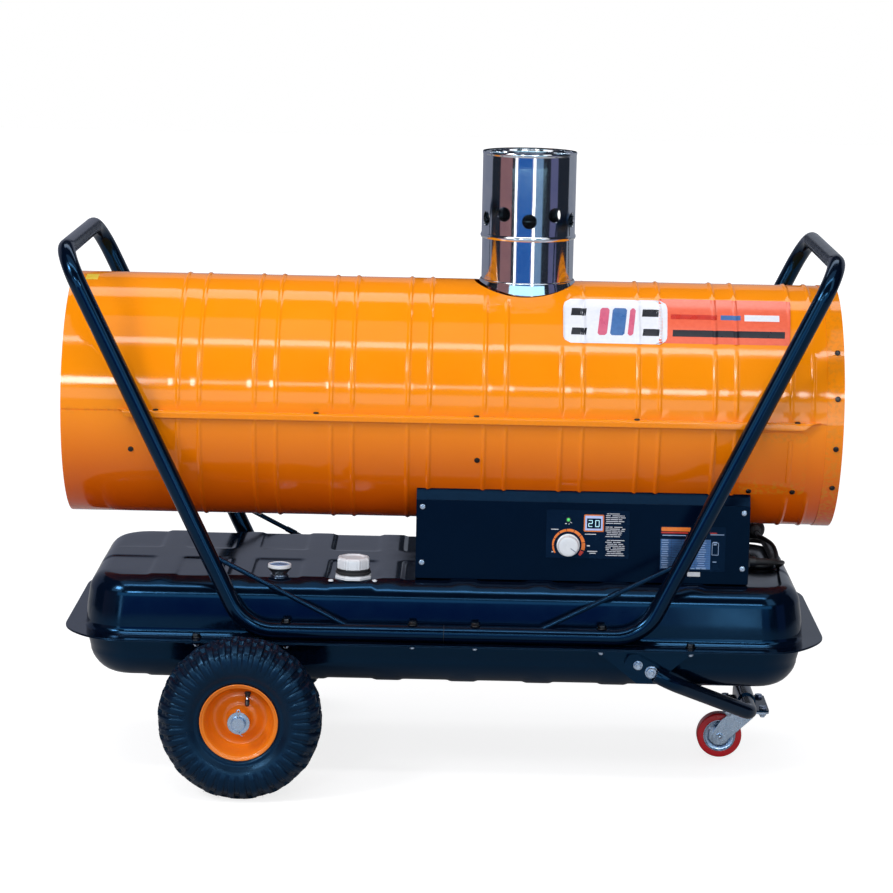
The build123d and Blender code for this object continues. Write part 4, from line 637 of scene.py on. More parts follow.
def cord_curve(name):
    """The cord's line: one open smooth spline through its route."""
    curve = bpy.data.curves.new(name, "CURVE")
    curve.dimensions = "3D"
    curve.resolution_u = 10
    line = curve.splines.new("NURBS")
    points = cord_points()
    line.points.add(len(points) - 1)
    for knot, place in zip(line.points, points):
        knot.co = (*place, 1.0)
    line.order_u = 3
    line.use_endpoint_u = True
    return curve


def make_cord():
    """The mains cord: one sheathed line from the gland through its coil to the plug."""
    curve = cord_curve("mains_cord")
    curve.bevel_depth = 0.0034
    curve.bevel_resolution = 4
    curve.use_fill_caps = True
    curve.materials.append(finishes["cord_rubber"])
    obj = linked("mains_cord", curve)
    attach(obj, "heater")
    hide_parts("power_cord", "cord_coil")


# Drum casing

bead_places = [0.003 - 0.4185 + 0.12175 * pair + way * 0.017 for pair in range(9) for way in (-1, 1)]


def bead_share(x, angle):
    """How high the bead at x stands at an angle, in degrees from the front; it fades at its ends."""
    pair = bead_places.index(x) // 2
    if angle >= 0:
        spans = [(2, 178)] if pair < 5 else [(2, 33), (67, 113), (147, 178)]
    elif pair == 8:
        spans = [(-178, -4)] if x > 0.59 else [(-178, -40)]
    elif -0.065 < x < 0.495:
        spans = [(-52, -2), (-178, -128)]
    else:
        spans = [(-178, -2)]
    return max(min((angle - low) / 3.5, (high - angle) / 3.5, 1) for low, high in spans)


def casing_profile():
    """Radius and place along the drum for one line of the sheet, with a rounded bump at each bead."""
    bump = ((-5.2, 0.0), (-3.9, 0.25), (-2.7, 0.95), (-1.5, 1.75), (-0.5, 2.0),
            (0.5, 2.0), (1.5, 1.75), (2.7, 0.95), (3.9, 0.25), (5.2, 0.0))
    line = [(drum_radius, drum_left), (drum_radius, drum_left + 0.003)]
    for x in bead_places:
        start = line[-1][1]
        steps = round((x - 0.0052 - start) / 0.013)
        for step in range(1, steps):
            line.append((drum_radius, start + (x - 0.0052 - start) * step / steps))
        line += [(drum_radius + rise / 1000, x + along / 1000) for along, rise in bump]
    line += [(drum_radius, drum_right - 0.018), (drum_radius, drum_right - 0.003), (drum_radius, drum_right)]
    return line


def half_casing(first, last):
    """Half of the drum's sheet between two angles, with its beads faded where they stop."""
    bm = bmesh.new()
    line(bm, [(x, -radius, 0) for radius, x in casing_profile()])
    rotate(bm, -first, "X")
    spin(bm, (1, 0, 0), first - last, 84)
    for vert in bm.verts:
        radius = math.hypot(vert.co.y, vert.co.z)
        if radius > drum_radius + 1e-5:
            angle = math.degrees(math.atan2(vert.co.z, -vert.co.y))
            if first < -90 and angle > 90:
                angle -= 360
            x = min(bead_places, key=lambda place: abs(place - vert.co.x))
            share = max(0.0, bead_share(x, angle))
            share = share * share * (3 - 2 * share)
            if first >= 0:
                share *= max(0.0, min(1.0, (math.hypot(vert.co.x - flue_x, vert.co.y) - 0.093) / 0.012))
            scale = (drum_radius + (radius - drum_radius) * share) / radius
            vert.co.y *= scale
            vert.co.z *= scale
    shift(bm, 0, 0, drum_z)
    return bm


def cut_flue_hole(bm):
    """Opens the sheet round the flue a little to the left, and rounds off the edge."""
    hole = 0.0822
    middle = flue_x - 0.004
    inside = [vert for vert in bm.verts if math.hypot(vert.co.x - middle, vert.co.y) < hole and vert.co.z > drum_z]
    bmesh.ops.delete(bm, geom=inside, context="VERTS")
    for vert in bm.verts:
        across = math.hypot(vert.co.x - middle, vert.co.y)
        if vert.is_boundary and across < hole + 0.03 and vert.co.z > drum_z + 0.1:
            vert.co.x = middle + (vert.co.x - middle) * hole / across
            vert.co.y *= hole / across
            vert.co.z = drum_z + math.sqrt(drum_radius ** 2 - vert.co.y ** 2)


def make_seam_strips():
    """The strips of sheet behind the seam, which close it at both ends of the ledge."""
    bm = bmesh.new()
    for side in (-1, 1):
        strip = bmesh.new()
        line(strip, [(x, side * 0.1952, 0) for x in (drum_left + 0.002, drum_right - 0.002)])
        rotate(strip, -3 * side, "X")
        spin(strip, (1, 0, 0), 6 * side, 6)
        add(bm, strip, at(0, 0, drum_z))
        strip.free()
    strips = piece("seam_strips", bm, "casing_paint")
    thicken(strips, 0.0008, 0.0)


def add_lips(bm):
    """The ledge along each side where the casing halves are screwed together, with its slanted ends."""
    for side in (-1, 1):
        section = [(0.1962, 0.0012), (0.204, 0.0012), (0.2056, 0.0008), (0.2065, -0.0005), (0.2067, -0.003),
                   (0.2066, -0.0098)]
        verts, edges = line(bm, [(-0.527, side * y, joint_z + z) for y, z in section])
        for part in range(20):
            edges, moved = extended(bm, edges)
            bmesh.ops.translate(bm, verts=moved, vec=(1.117 / 20, 0, 0))
        for vert in verts:
            out = (abs(vert.co.y) - 0.1962) + (joint_z - vert.co.z) * 0.3
            vert.co.x += 0.7 * max(0.0, out)
        for vert in moved:
            out = (abs(vert.co.y) - 0.1962) + (joint_z - vert.co.z) * 0.9
            vert.co.x -= 1.5 * max(0.0, out)


def make_casing():
    upper = half_casing(0.42, 179.58)
    cut_flue_hole(upper)
    add_lips(upper)
    for label, bm in (("upper", upper), ("lower", half_casing(-179.8, -0.2))):
        set_normals(bm)
        shell = piece(label + "_shell", bm, "casing_paint", stands_for=label + "_casing")
        thicken(shell, 0.0011)
        face_out(shell)


def face_out(obj):
    """Turns a sheet round if its faces look at the drum's axis."""
    mesh = obj.data
    bm = bmesh.new()
    bm.from_mesh(mesh)
    outward = 0.0
    for face in bm.faces:
        middle = face.calc_center_median()
        outward += face.normal.y * middle.y + face.normal.z * (middle.z - drum_z)
    if outward < 0:
        bmesh.ops.reverse_faces(bm, faces=bm.faces[:])
        bm.to_mesh(mesh)
    bm.free()


def on_drum(x, angle, radius):
    """A place on the drum, Z outwards; the angle is in degrees up from the front."""
    turn = math.radians(angle)
    out = Vector((0, -math.cos(turn), math.sin(turn)))
    place = Vector((x, 0, drum_z)) + out * radius
    return Matrix.Translation(place) @ out.to_track_quat("Z", "Y").to_matrix().to_4x4()


def make_casing_screws():
    """The black pan-head screws of the casing and the control face."""
    places = []
    for side in (-1, 1):
        places += [at(0.003 - 0.47 + 0.2545 * number, side * 0.20175, joint_z + 0.0012) for number in range(5)]
    for angle in (-11.4, -32.6, 12.0, 34.0):
        places += [on_drum(0.614, angle, 0.1982), on_drum(0.614, 180 - angle, 0.1982)]
    for x, angle in ((-0.508, -18.8), (0.0445, -21.0)):
        places += [on_drum(x, angle, 0.197), on_drum(x, 180 - angle, 0.197)]
    places += [on_drum(x, -35.8, 0.1982) for x in (0.481, 0.551)]
    places = [place @ Matrix.Rotation(number * 0.7, 4, "Z") for number, place in enumerate(places)]
    piece("casing_screws", placed(cross_screw(0.0045, 0.0022), *places), "black_oxide", stands_for="sheet_screws")
    corners = [(x, z) for x in (-0.041, 0.475) for z in (0.449, 0.3575)]
    places = [at(x, -0.167, z) @ TO_FRONT @ Matrix.Rotation(0.5 + number, 4, "Z")
              for number, (x, z) in enumerate(corners)]
    piece("face_screws", placed(cross_screw(0.0046, 0.0023), *places), "zinc")


# Chimney

def flue_cup_sheet():
    """The cup's wall, laid flat: cells with a round draught hole, then the bands above and below."""
    holes = 11
    half = math.pi * 0.0763 / holes
    level = 0.906
    bm = bmesh.new()
    for number in range(holes):
        raised = min(number, holes - number) % 2
        cell = Vector((2 * number * half, level, 0))
        hole = Vector((2 * number * half, 0.901 + 0.01 * raised, 0))
        ring = bmesh.ops.create_circle(bm, segments=48, radius=0.012, matrix=Matrix.Translation(hole))["verts"]
        loop = edges_at(ring)
        previous = hole
        for share in (0.15, 0.4, 0.7, 1.0):
            loop, verts = extended(bm, loop)
            middle = hole.lerp(cell, share)
            for vert in verts:
                out = (vert.co - previous).normalized()
                reach = half / max(abs(out.x), abs(out.y))
                vert.co = middle + out * (0.012 + (reach - 0.012) * share)
            previous = middle
    weld(bm, 1e-5)
    above = ((0.955, 0), (0.985, 0), (1.003, 0), (1.0038, 0.0001), (1.0055, 0.0006), (1.0075, 0.0008),
             (cup_top, 0.0003))
    below = ((0.876, 0), (0.8745, 0.0012), (0.8722, 0.0017), (0.8698, 0.0012), (cup_bottom, 0))
    for way, rows in ((1, above), (-1, below)):
        edges = [edge for edge in bm.edges if edge.is_boundary
                 and all(way * (vert.co.y - level) > half - 1e-4 for vert in edge.verts)]
        for height, out in rows:
            edges, verts = extended(bm, edges)
            for vert in verts:
                vert.co.y = height
                vert.co.z = out
    return bm


def wrap_round_flue(bm, radius):
    """Rolls a flat sheet round the flue: X becomes the way round and Y the height."""
    for vert in bm.verts:
        turn = vert.co.x / radius
        out = radius + vert.co.z
        height = vert.co.y
        vert.co = (flue_x + out * math.sin(turn), -out * math.cos(turn), height)
    weld(bm, 1e-5)
    set_normals(bm)


def make_chimney():
    bm = flue_cup_sheet()
    wrap_round_flue(bm, 0.0763)
    cup = piece("flue_cup", bm, "stainless", stands_for="chimney_cup")
    thicken(cup, 0.0009, -1.0)
    bm = turned([(74, 770), (75, 770), (75, 800), (75, 830), (75, 860), (75, 886), (74, 886)], 88, closed=True)
    shift(bm, flue_x, 0, 0)
    piece("flue_pipe", bm, "stainless", stands_for="chimney_pipe")
    rows = 8
    bm = turned([(76.2, 0), (76.8, 30), (77.1, 80)] + [(76.8 + 1.6 * row / rows, 1000 * row / rows)
                                                       for row in range(1, rows + 1)], 88)
    for vert in bm.verts:
        share = vert.co.z
        foot = drum_z + math.sqrt(drum_radius ** 2 - vert.co.y ** 2) + 0.0004
        top = 0.801
        vert.co.z = top + (foot - top) * share
        vert.co.x += flue_x
    skirt = piece("flue_skirt", bm, "stainless", stands_for="flue_collar")
    thicken(skirt, 0.001, 1.0)


make_casing()
make_seam_strips()
make_casing_screws()
make_chimney()


# Tank

tank_middle = -0.003
tank_half_length = 0.581
tank_half_width = 0.208
tank_ribs = [tank_middle - 0.455 + 0.1216 * number for number in range(8)]
rib_half = 0.0215
rib_end = 0.168
spine_half = 0.036


def rib_share(x, y):
    """How far the pressed ribs stand up at a place on the tank: cross ribs joined by a wide spine."""
    nearest = min(math.hypot(x - rib, max(abs(y) - rib_end, 0.0)) for rib in tank_ribs) - rib_half
    spine = abs(y) - spine_half
    blend = 0.016
    mix = max(0.0, min(1.0, 0.5 + 0.5 * (spine - nearest) / blend))
    reach = spine * (1 - mix) + nearest * mix - blend * mix * (1 - mix)
    return 1 - smooth(-0.0035, 0.0045, reach)


def tank_half(height, lean, edge):
    """One pressed half of the tank, standing on its flange, with its ribs and swelling sides."""
    bm = prism(2 * tank_half_length, 2 * tank_half_width, height, 0.07, 14, 0.0)
    foot = [face for face in bm.faces if face.normal.z < -0.9]
    bmesh.ops.delete(bm, geom=foot, context="FACES_ONLY")
    slope = math.tan(math.radians(lean))
    for vert in bm.verts:
        inward = vert.co.z * slope
        vert.co.x -= math.copysign(inward, vert.co.x)
        vert.co.y -= math.copysign(inward, vert.co.y)
    rim = [side for side in bm.edges if all(abs(vert.co.z - height) < 1e-7 for vert in side.verts)]
    bmesh.ops.bevel(bm, geom=rim, offset=edge, segments=9, profile=0.5, affect="EDGES", material=-1)
    near = (-0.028, -0.0245, -0.021, -0.0175, -0.009, 0.0, 0.009, 0.0175, 0.021, 0.0245, 0.028)
    cut_rows(bm, 0, [rib - tank_middle + step for rib in tank_ribs for step in near])
    sides = (0.0, 0.015, 0.029, 0.033, 0.037, 0.041, 0.045, 0.052, 0.075, 0.1, 0.125, 0.145, 0.158, 0.166, 0.172)
    cut_rows(bm, 1, [way * place for place in sides for way in (-1, 1)])
    cut_rows(bm, 2, [0.0016, 0.004, 0.008, 0.013, 0.02, 0.03, 0.04])
    for vert in bm.verts:
        up = vert.co.z
        level = smooth(height - edge * 0.75, height, up)
        vert.co.z += 0.0023 * rib_share(vert.co.x + tank_middle, vert.co.y) * level
        swell = 0.0022 * math.sin(math.pi * min(1.0, up / (height - edge * 0.4)))
        flare = 0.0055 * (1 - smooth(0.0, 0.0085, up)) ** 2
        out = Vector((vert.co.x - math.copysign(min(abs(vert.co.x), tank_half_length - 0.07), vert.co.x),
                      vert.co.y - math.copysign(min(abs(vert.co.y), tank_half_width - 0.07), vert.co.y), 0))
        if out.length > 0.03:
            vert.co += out.normalized() * (swell + flare)
    set_normals(bm)
    return bm


def tank_flange():
    """The flat rim of one half: a ring of sheet whose right end is bent up a little."""
    bm = bmesh.new()
    bmesh.ops.create_grid(bm, x_segments=1, y_segments=1, size=0.5)
    bmesh.ops.scale(bm, verts=bm.verts[:], vec=(1.228, 0.504, 1))
    bmesh.ops.bevel(bm, geom=bm.verts[:], offset=0.11, offset_type="OFFSET", segments=20, profile=0.5,
                    affect="VERTICES", material=-1)
    ring = set(bmesh.ops.inset_individual(bm, faces=bm.faces[:], thickness=0.036, use_even_offset=True)["faces"])
    bmesh.ops.delete(bm, geom=[face for face in bm.faces if face not in ring], context="FACES")
    for vert in bm.verts:
        lift = 0.0045 if vert.co.x > 0 else 0.002
        vert.co.z += lift * smooth(0.53, 0.614, abs(vert.co.x)) ** 1.5
    return bm


def raise_filler_seat(bm, height):
    """Lifts a round seat under the filler, where the sheet would already curve down."""
    for vert in bm.verts:
        across = math.hypot(vert.co.x - filler_x, vert.co.y - filler_y)
        share = 1 - smooth(0.034, 0.05, across)
        if vert.co.z > height - 0.03 and share > 0:
            vert.co.z += (height + 0.0004 - vert.co.z) * share


filler_x = -0.151
filler_y = -0.16
gauge_x = -0.27


def make_tank():
    seam = 0.2384
    bm = tank_half(0.329 - seam, 4.0, 0.03)
    shift(bm, tank_middle, 0, seam)
    raise_filler_seat(bm, 0.329)
    top = piece("tank_top_half", bm, "frame_paint", stands_for="tank_upper", sharp=60)
    thicken(top, 0.0015)
    bm = tank_half(seam - 0.162, 6.0, 0.044)
    bmesh.ops.scale(bm, verts=bm.verts[:], vec=(1, 1, -1))
    bmesh.ops.reverse_faces(bm, faces=bm.faces[:])
    shift(bm, tank_middle, 0, seam)
    low = piece("tank_bottom_half", bm, "frame_paint", stands_for="tank_lower", sharp=60)
    thicken(low, 0.0015)
    for name, level in (("flange_top_sheet", seam + 0.0009), ("flange_bottom_sheet", seam - 0.0009)):
        bm = tank_flange()
        shift(bm, tank_middle, 0, level)
        sheet = piece(name, bm, "frame_paint")
        thicken(sheet, 0.0014, 0.0)
        soften(sheet, 0.0005)
    make_flange_slot_shade()


def make_flange_slot_shade():
    """Two short slots in the flange's right end, drawn as thin dark pieces lying on it: painted shade in place of
    the openings.
    """
    slot = prism(0.01, 0.0042, 0.0003, 0.002, 5)
    # Painted shade: dark rubber patches stand for the slots' openings.
    piece("flange_slot_shade", placed(slot, at(0.6065, 0.02, 0.2431), at(0.6045, 0.14, 0.243)), "gasket_rubber")


def make_filler():
    """The neck with its silver foot and black collar."""
    place = at(filler_x, filler_y, 0)
    foot = turned([(21.5, 329), (31, 329), (31.2, 332.5), (30, 334.5), (27.5, 335.2), (26.2, 336.2),
                   (21.5, 336.2)], 8, closed=True)
    bm = placed(foot, place @ rotation(22.5, "Z"))
    head = cross_screw(0.0042, 0.0026)
    add(bm, head, at(-0.186, -0.185, 0.3275), at(-0.116, -0.181, 0.3275))
    head.free()
    obj = piece("filler_foot", bm, "cap_plastic", sharp=25)
    soften(obj, 0.0004)
    collar = turned([(22.2, 336.2), (27.2, 336.2), (28.4, 337.4), (28.6, 339.2), (27.6, 340.2), (26.2, 340.8),
                     (26.2, 342.2), (27, 343), (27, 344.4), (22.2, 344.6)],
                    64, closed=True)
    piece("filler_collar", placed(collar, place), "gasket_rubber")
    thread = [(22, 311.5), (23.4, 311.5)]
    for turn in range(3):
        base = 346.2 + 3.4 * turn
        thread += [(23.1, base), (23.9, base + 0.8), (23.9, base + 1.4), (23.1, base + 2.2)]
    thread += [(23.4, 356.6), (23.1, 357), (22, 357)]
    piece("filler_throat", placed(turned(thread, 64, closed=True), place), "zinc", stands_for="filler_neck")


def cap_outline(angle):
    """Radius of the cap at an angle: eight flats with a fine groove on each side of a rounded corner."""
    step = math.radians(45)
    off = (angle + step / 2) % step - step / 2
    corner = step / 2 - abs(off)
    radius = min(0.0254 / math.cos(off), 0.0278)
    radius = min(radius, 0.0268 + 0.001 * smooth(0.0, 0.1, corner) + 0.0006)
    return radius - 0.0009 * math.exp(-((corner - 0.135) / 0.028) ** 2)


def make_cap():
    """The fuel cap, hollow below and dished on top."""
    bm = bmesh.new()
    low = 0.34515
    top = 0.36315
    rows = [(0.0246, low + 0.0016, 1), (0.0252, low, 1), (-0.0006, low, 0), (0.0, low + 0.0008, 0),
            (0.0, low + 0.014, 0), (-0.0004, top - 0.003, 0), (-0.0022, top - 0.0008, 0), (-0.0036, top, 0),
            (0.0195, top, 1), (0.0186, top - 0.0006, 1), (0.018, top - 0.0018, 1), (0.012, top - 0.0021, 1)]
    ring = bmesh.ops.create_circle(bm, segments=256, radius=0.0246)["verts"]
    edges = edges_at(ring)
    for vert in ring:
        vert.co.z = 0.36
    for radius, height, is_round in rows:
        edges, verts = extended(bm, edges)
        for vert in verts:
            angle = math.atan2(vert.co.y, vert.co.x)
            out = radius if is_round else cap_outline(angle) + radius
            vert.co = (out * math.cos(angle), out * math.sin(angle), height)
    bmesh.ops.contextual_create(bm, geom=edges)
    set_normals(bm)
    shift(bm, filler_x, filler_y, 0)
    piece("cap_shell", bm, "cap_plastic", body="cap_turn", stands_for="fuel_cap",
          sharp=28)


def make_gauge():
    """The level gauge: silver foot, tapered black body, silver bezel and a pale dial under a lens."""
    place = at(gauge_x, filler_y, 0)
    parts = (
        ("gauge_foot", "zinc", [(0, 329), (14.5, 329), (15, 330.2), (14.8, 331.8), (12.8, 332.6),
                                (0, 332.6)], None),
        ("gauge_body", "dark_plastic", [(0, 332.6), (12.2, 332.6), (12.6, 334.6), (13.8, 336.2), (15.8, 338.4),
                                        (17.6, 340.2), (18.2, 341.8), (18.2, 343.2), (0, 343.2)], "fuel_gauge"),
        ("gauge_bezel", "cap_plastic", [(18.4, 343), (19, 343.6), (19, 346.8), (18.7, 348.2), (18, 348.8),
                                        (16.6, 348.8), (15.8, 348.2), (15.6, 347), (15.6, 343)], None),
        ("gauge_dial", "dial_face", [(0, 346.8), (15.6, 346.8), (15.6, 344), (0, 344)], None),
        ("gauge_lens", "clear_lens", [(0, 349.9), (4, 349.8), (8, 349.4), (12, 348.7), (15, 347.8),
                                      (15.7, 347.4)], None),
    )
    for name, finish, profile, stands_for in parts:
        piece(name, placed(turned(profile, 56, closed=profile[0][0] > 0), place), finish, stands_for=stands_for)
    bm = placed(prism(0.0005, 0.0022, 0.0001), *(place @ at(0, 0, 0.3469) @ rotation(-60 + 15 * number, "Z")
                                                 @ at(0, 0.0125, 0) for number in range(9)))
    hand = prism(0.001, 0.011, 0.0002)
    add(bm, hand, place @ at(0, 0, 0.347) @ rotation(25, "Z") @ at(0, 0.0045, 0))
    hand.free()
    piece("gauge_marks", bm, "print_black")


make_tank()
make_filler()
make_cap()
make_gauge()


# Wheels

tyre_lugs = 38


def tyre_section():
    """Radius and width of the tyre from one bead over the tread to the other, with an even spread of points."""
    half = [(0.056, 0.0275), (0.06, 0.0288), (0.0635, 0.03), (0.065, 0.0312), (0.0668, 0.0322), (0.069, 0.0318),
            (0.0715, 0.0328), (0.076, 0.0364), (0.081, 0.0392), (0.086, 0.041), (0.0905, 0.0419), (0.0945, 0.042),
            (0.0985, 0.0416), (0.1025, 0.0406), (0.1065, 0.0391), (0.1105, 0.037), (0.114, 0.0346), (0.1172, 0.032),
            (0.12, 0.0294), (0.1226, 0.0262), (0.1246, 0.0226), (0.1262, 0.0186), (0.1275, 0.0144), (0.1284, 0.01),
            (0.1289, 0.0052)]
    return half + [(0.129, 0.0)] + [(radius, -out) for radius, out in reversed(half)]


def lug_lift(radius, out, angle):
    """How far the rubber stands up or is cut in at a place of the tyre."""
    turn = angle * tyre_lugs / (2 * math.pi)
    share = turn % 1.0
    row = int(turn)
    if radius < 0.0845:
        return 0.0
    side = min(share, 1 - share) * 2 * math.pi / tyre_lugs * radius
    if radius < 0.116:
        end = max(0.0, 0.0925 - radius)
        width = 0.0046 + 0.04 * (radius - 0.0885)
        inside = width - math.hypot(side, end)
        rib = smooth(-0.0009, 0.0011, inside)
        groove = math.exp(-((inside + 0.0004) / 0.0011) ** 2) * smooth(0.0845, 0.09, radius)
        return 0.0021 * rib - 0.0012 * groove
    knob = smooth(-0.001, 0.0014, 0.0058 - side)
    wobble = 0.0007 * math.sin(row * 2.3 + (1.7 if out > 0 else 0.4))
    if abs(out) > 0.0205:
        return -0.0034 + (0.0046 + wobble) * knob
    step = 0.5 if int(abs(out) / 0.0085) % 2 else 0.0
    shifted = (turn + step) % 1.0
    across = min(shifted, 1 - shifted) * 2 * math.pi / tyre_lugs * radius
    block = smooth(-0.001, 0.0014, 0.0066 - across)
    lane = abs((abs(out) / 0.0085) % 1.0 - 0.5)
    gutter = smooth(0.5, 0.38, lane)
    return -0.004 + (0.0048 + wobble) * block * (0.35 + 0.65 * gutter)


def make_tyre(name, side, node_name, body):
    """A pneumatic tyre with ribbed shoulders, a knobbed tread and a bead line."""
    bm = bmesh.new()
    line(bm, [(out, 0, radius) for radius, out in tyre_section()], True)
    spin(bm, (1, 0, 0), 360, 12 * tyre_lugs, True)
    weld(bm)
    set_normals(bm)
    bm.normal_update()
    moves = []
    for vert in bm.verts:
        radius = math.hypot(vert.co.y, vert.co.z)
        angle = math.atan2(vert.co.y, vert.co.z) % (2 * math.pi)
        lift = lug_lift(radius, vert.co.x, angle + (0.02 if vert.co.x > 0 else 0.1))
        moves.append(vert.co + vert.normal * lift)
    for vert, place in zip(bm.verts, moves):
        radius = math.hypot(place.y, place.z)
        if radius > 0.1298:
            place = Vector((place.x, place.y * 0.1298 / radius, place.z * 0.1298 / radius))
        past = abs(place.x) - 0.0395
        if past > 0:
            place.x = math.copysign(0.0395 + past * 0.5, place.x)
        vert.co = place
    rotate(bm, -90 * side, "Z")
    shift(bm, axle_x, side * wheel_y, axle_z)
    for vert in bm.verts:
        if vert.co.z < 0.0012:
            vert.co.z = 0.0012 - (0.0012 - vert.co.z) * 0.15
    set_normals(bm)
    piece(name, bm, "tyre_rubber", body=body, stands_for=node_name, sharp=50)


def make_rubber_hairs(name, side, body):
    """The fine rubber hairs that moulding leaves on the tread."""
    bm = bmesh.new()
    hair = bmesh.new()
    bmesh.ops.create_cone(hair, cap_ends=True, segments=5, radius1=0.00032, radius2=0.00012, depth=0.0042)
    shift(hair, 0, 0, 0.0021)
    for number in range(96):
        angle = 2 * math.pi * (number + random.uniform(-0.3, 0.3)) / 96
        out = random.uniform(-0.03, 0.034)
        radius = 0.1205 if abs(out) > 0.024 else 0.125
        lean = Matrix.Rotation(random.uniform(-0.7, 0.7), 4, "X")
        lean = lean @ Matrix.Rotation(random.uniform(-0.5, 0.5), 4, "Y")
        place = Matrix.Rotation(angle, 4, "Y") @ at(0, side * out, radius) @ lean
        add(bm, hair, at(axle_x, side * wheel_y, axle_z) @ place)
    hair.free()
    for vert in bm.verts:
        across = Vector((vert.co.x - axle_x, 0, vert.co.z - axle_z))
        if across.length > 0.1298:
            vert.co -= across.normalized() * (across.length - 0.1298)
    piece(name, bm, "tyre_rubber", body=body)


def wheel_place(side):
    """The middle of one wheel, Z pointing out along the axle."""
    return at(axle_x, side * wheel_y, axle_z) @ rotation(-90 * side, "X")


def round_wheel(bm, profile, side, steps):
    """Adds a profile of radius and distance out, spun round one wheel's axle."""
    shape = turned(profile, steps, closed=True)
    add(bm, shape, wheel_place(side))
    shape.free()


def make_rim(name, side, node_name, body):
    """A deep pressed rim: rolled edge, step, barrel, cone with a pressed ring, and the hub tube."""
    outside = [(56, 27), (59.6, 28.4), (61.2, 29.2), (62, 30.3), (61.7, 31.4), (60.6, 31.9), (59.6, 31.5),
               (59, 30.6), (58.2, 30), (57, 29.8), (55.8, 29.2), (55, 27.8), (53.6, 21), (51.8, 13), (49.8, 6),
               (47, 0.4), (44, -3), (41, -4), (38, -3.6), (34, -2), (31, 0), (28.4, 1.8), (26.2, 3), (24.6, 3.4),
               (23.2, 3.6), (21.6, 4.2), (20, 5.4), (18.4, 7.4), (17.4, 11), (17, 20), (17, 30.6), (16.6, 31),
               (10.3, 31)]
    inside = [(10.3, -49), (16.6, -49), (17, -48.4), (17, -6), (17.6, -3), (20, 1), (24, -0.2), (30, -2.4),
              (40, -7.8), (44, -9), (48, -8.4), (50, -10), (50.4, -20), (51.2, -24), (58, -26.2), (59.6, -28.4),
              (61.2, -29.2), (62, -30.3), (61.7, -31.4), (60.6, -31.9), (59.2, -31.2), (58.4, -29.6), (56, -27)]
    bm = bmesh.new()
    round_wheel(bm, outside + inside, side, 112)
    piece(name, bm, "rim_paint", body=body, stands_for=node_name, sharp=50)


def make_valve(name, side, body):
    """The tyre valve: a rubber stem with a bare brass-like waist and its cap, leaning to the hub."""
    core = turned([(0, 0), (5.2, 0), (5.4, 2), (4, 3.4), (3.6, 8), (3.3, 8.2), (0, 8.2)], 24)
    waist = turned([(0, 8), (2.6, 8), (2.6, 13), (0, 13)], 24)
    cap = turned([(0, 12.8), (3.4, 12.8), (3.7, 13.4), (3.7, 20), (3.3, 22.2), (2.2, 23), (0, 23.2)], 24)
    place = wheel_place(side) @ at(0.0125, 0.044 * -side, 0.008) @ rotation(58 * -side, "X")
    for shape, finish, label in ((core, "gasket_rubber", "stem"), (waist, "zinc", "waist"),
                                 (cap, "dark_plastic", "cap")):
        piece(name + "_" + label, placed(shape, place), finish, body=body)


def make_axle_fittings():
    """Spacers, washers with rounded edges and split pins."""
    bm = bmesh.new()
    for side in (-1, 1):
        round_wheel(bm, [(10.1, -86), (13.8, -86), (14, -85.7), (14, -49.7), (13.8, -49.4),
                         (10.1, -49.4)], side, 40)
        round_wheel(bm, [(10.2, 31.4), (17.2, 31.4), (18, 32), (18, 33.6), (17.4, 34.3), (15, 34.5), (11, 34.5),
                         (10.2, 34.1)], side, 72)
    piece("axle_rings", bm, "zinc", stands_for="axle_washers")
    bm = bmesh.new()
    for side in (-1, 1):
        wire = bmesh.new()
        bmesh.ops.create_circle(wire, segments=10, radius=0.0014)
        shift(wire, 0, 0, 0.0185)
        edges = wire.edges[:]
        for across, height in ((0.0, 0.015), (0.0, 0.0), (0.0, -0.013), (0.0018, -0.0165), (0.0062, -0.0195)):
            edges, moved = extended(wire, edges)
            centre = sum((vert.co for vert in moved), Vector()) / len(moved)
            bmesh.ops.translate(wire, verts=moved, vec=Vector((across, 0, height)) - centre)
        bmesh.ops.holes_fill(wire, edges=wire.edges[:])
        set_normals(wire)
        pin_y = side * (0.336 + 0.0054)
        add(bm, wire, at(axle_x, pin_y, axle_z))
        wire.free()
        eye = bmesh.new()
        bmesh.ops.create_circle(eye, segments=10, radius=0.0011)
        rotate(eye, 90, "X")
        shift(eye, 0.0026, 0, 0)
        spin(eye, (0, 0, 1), 360, 20, True)
        weld(eye)
        set_normals(eye)
        add(bm, eye, at(axle_x, pin_y, axle_z + 0.02) @ TO_FRONT)
        eye.free()
    piece("split_pins", bm, "zinc")


def make_wheels():
    for side, label in ((-1, "near"), (1, "far")):
        body = label + "_wheel"
        make_tyre(label + "_tyre_cover", side, label + "_tyre", body)
        make_rubber_hairs(label + "_tyre_hairs", side, body)
        make_rim(label + "_wheel_rim", side, label + "_rim", body)
        make_valve(label + "_valve", side, body)
    make_axle_fittings()


make_wheels()


# Caster

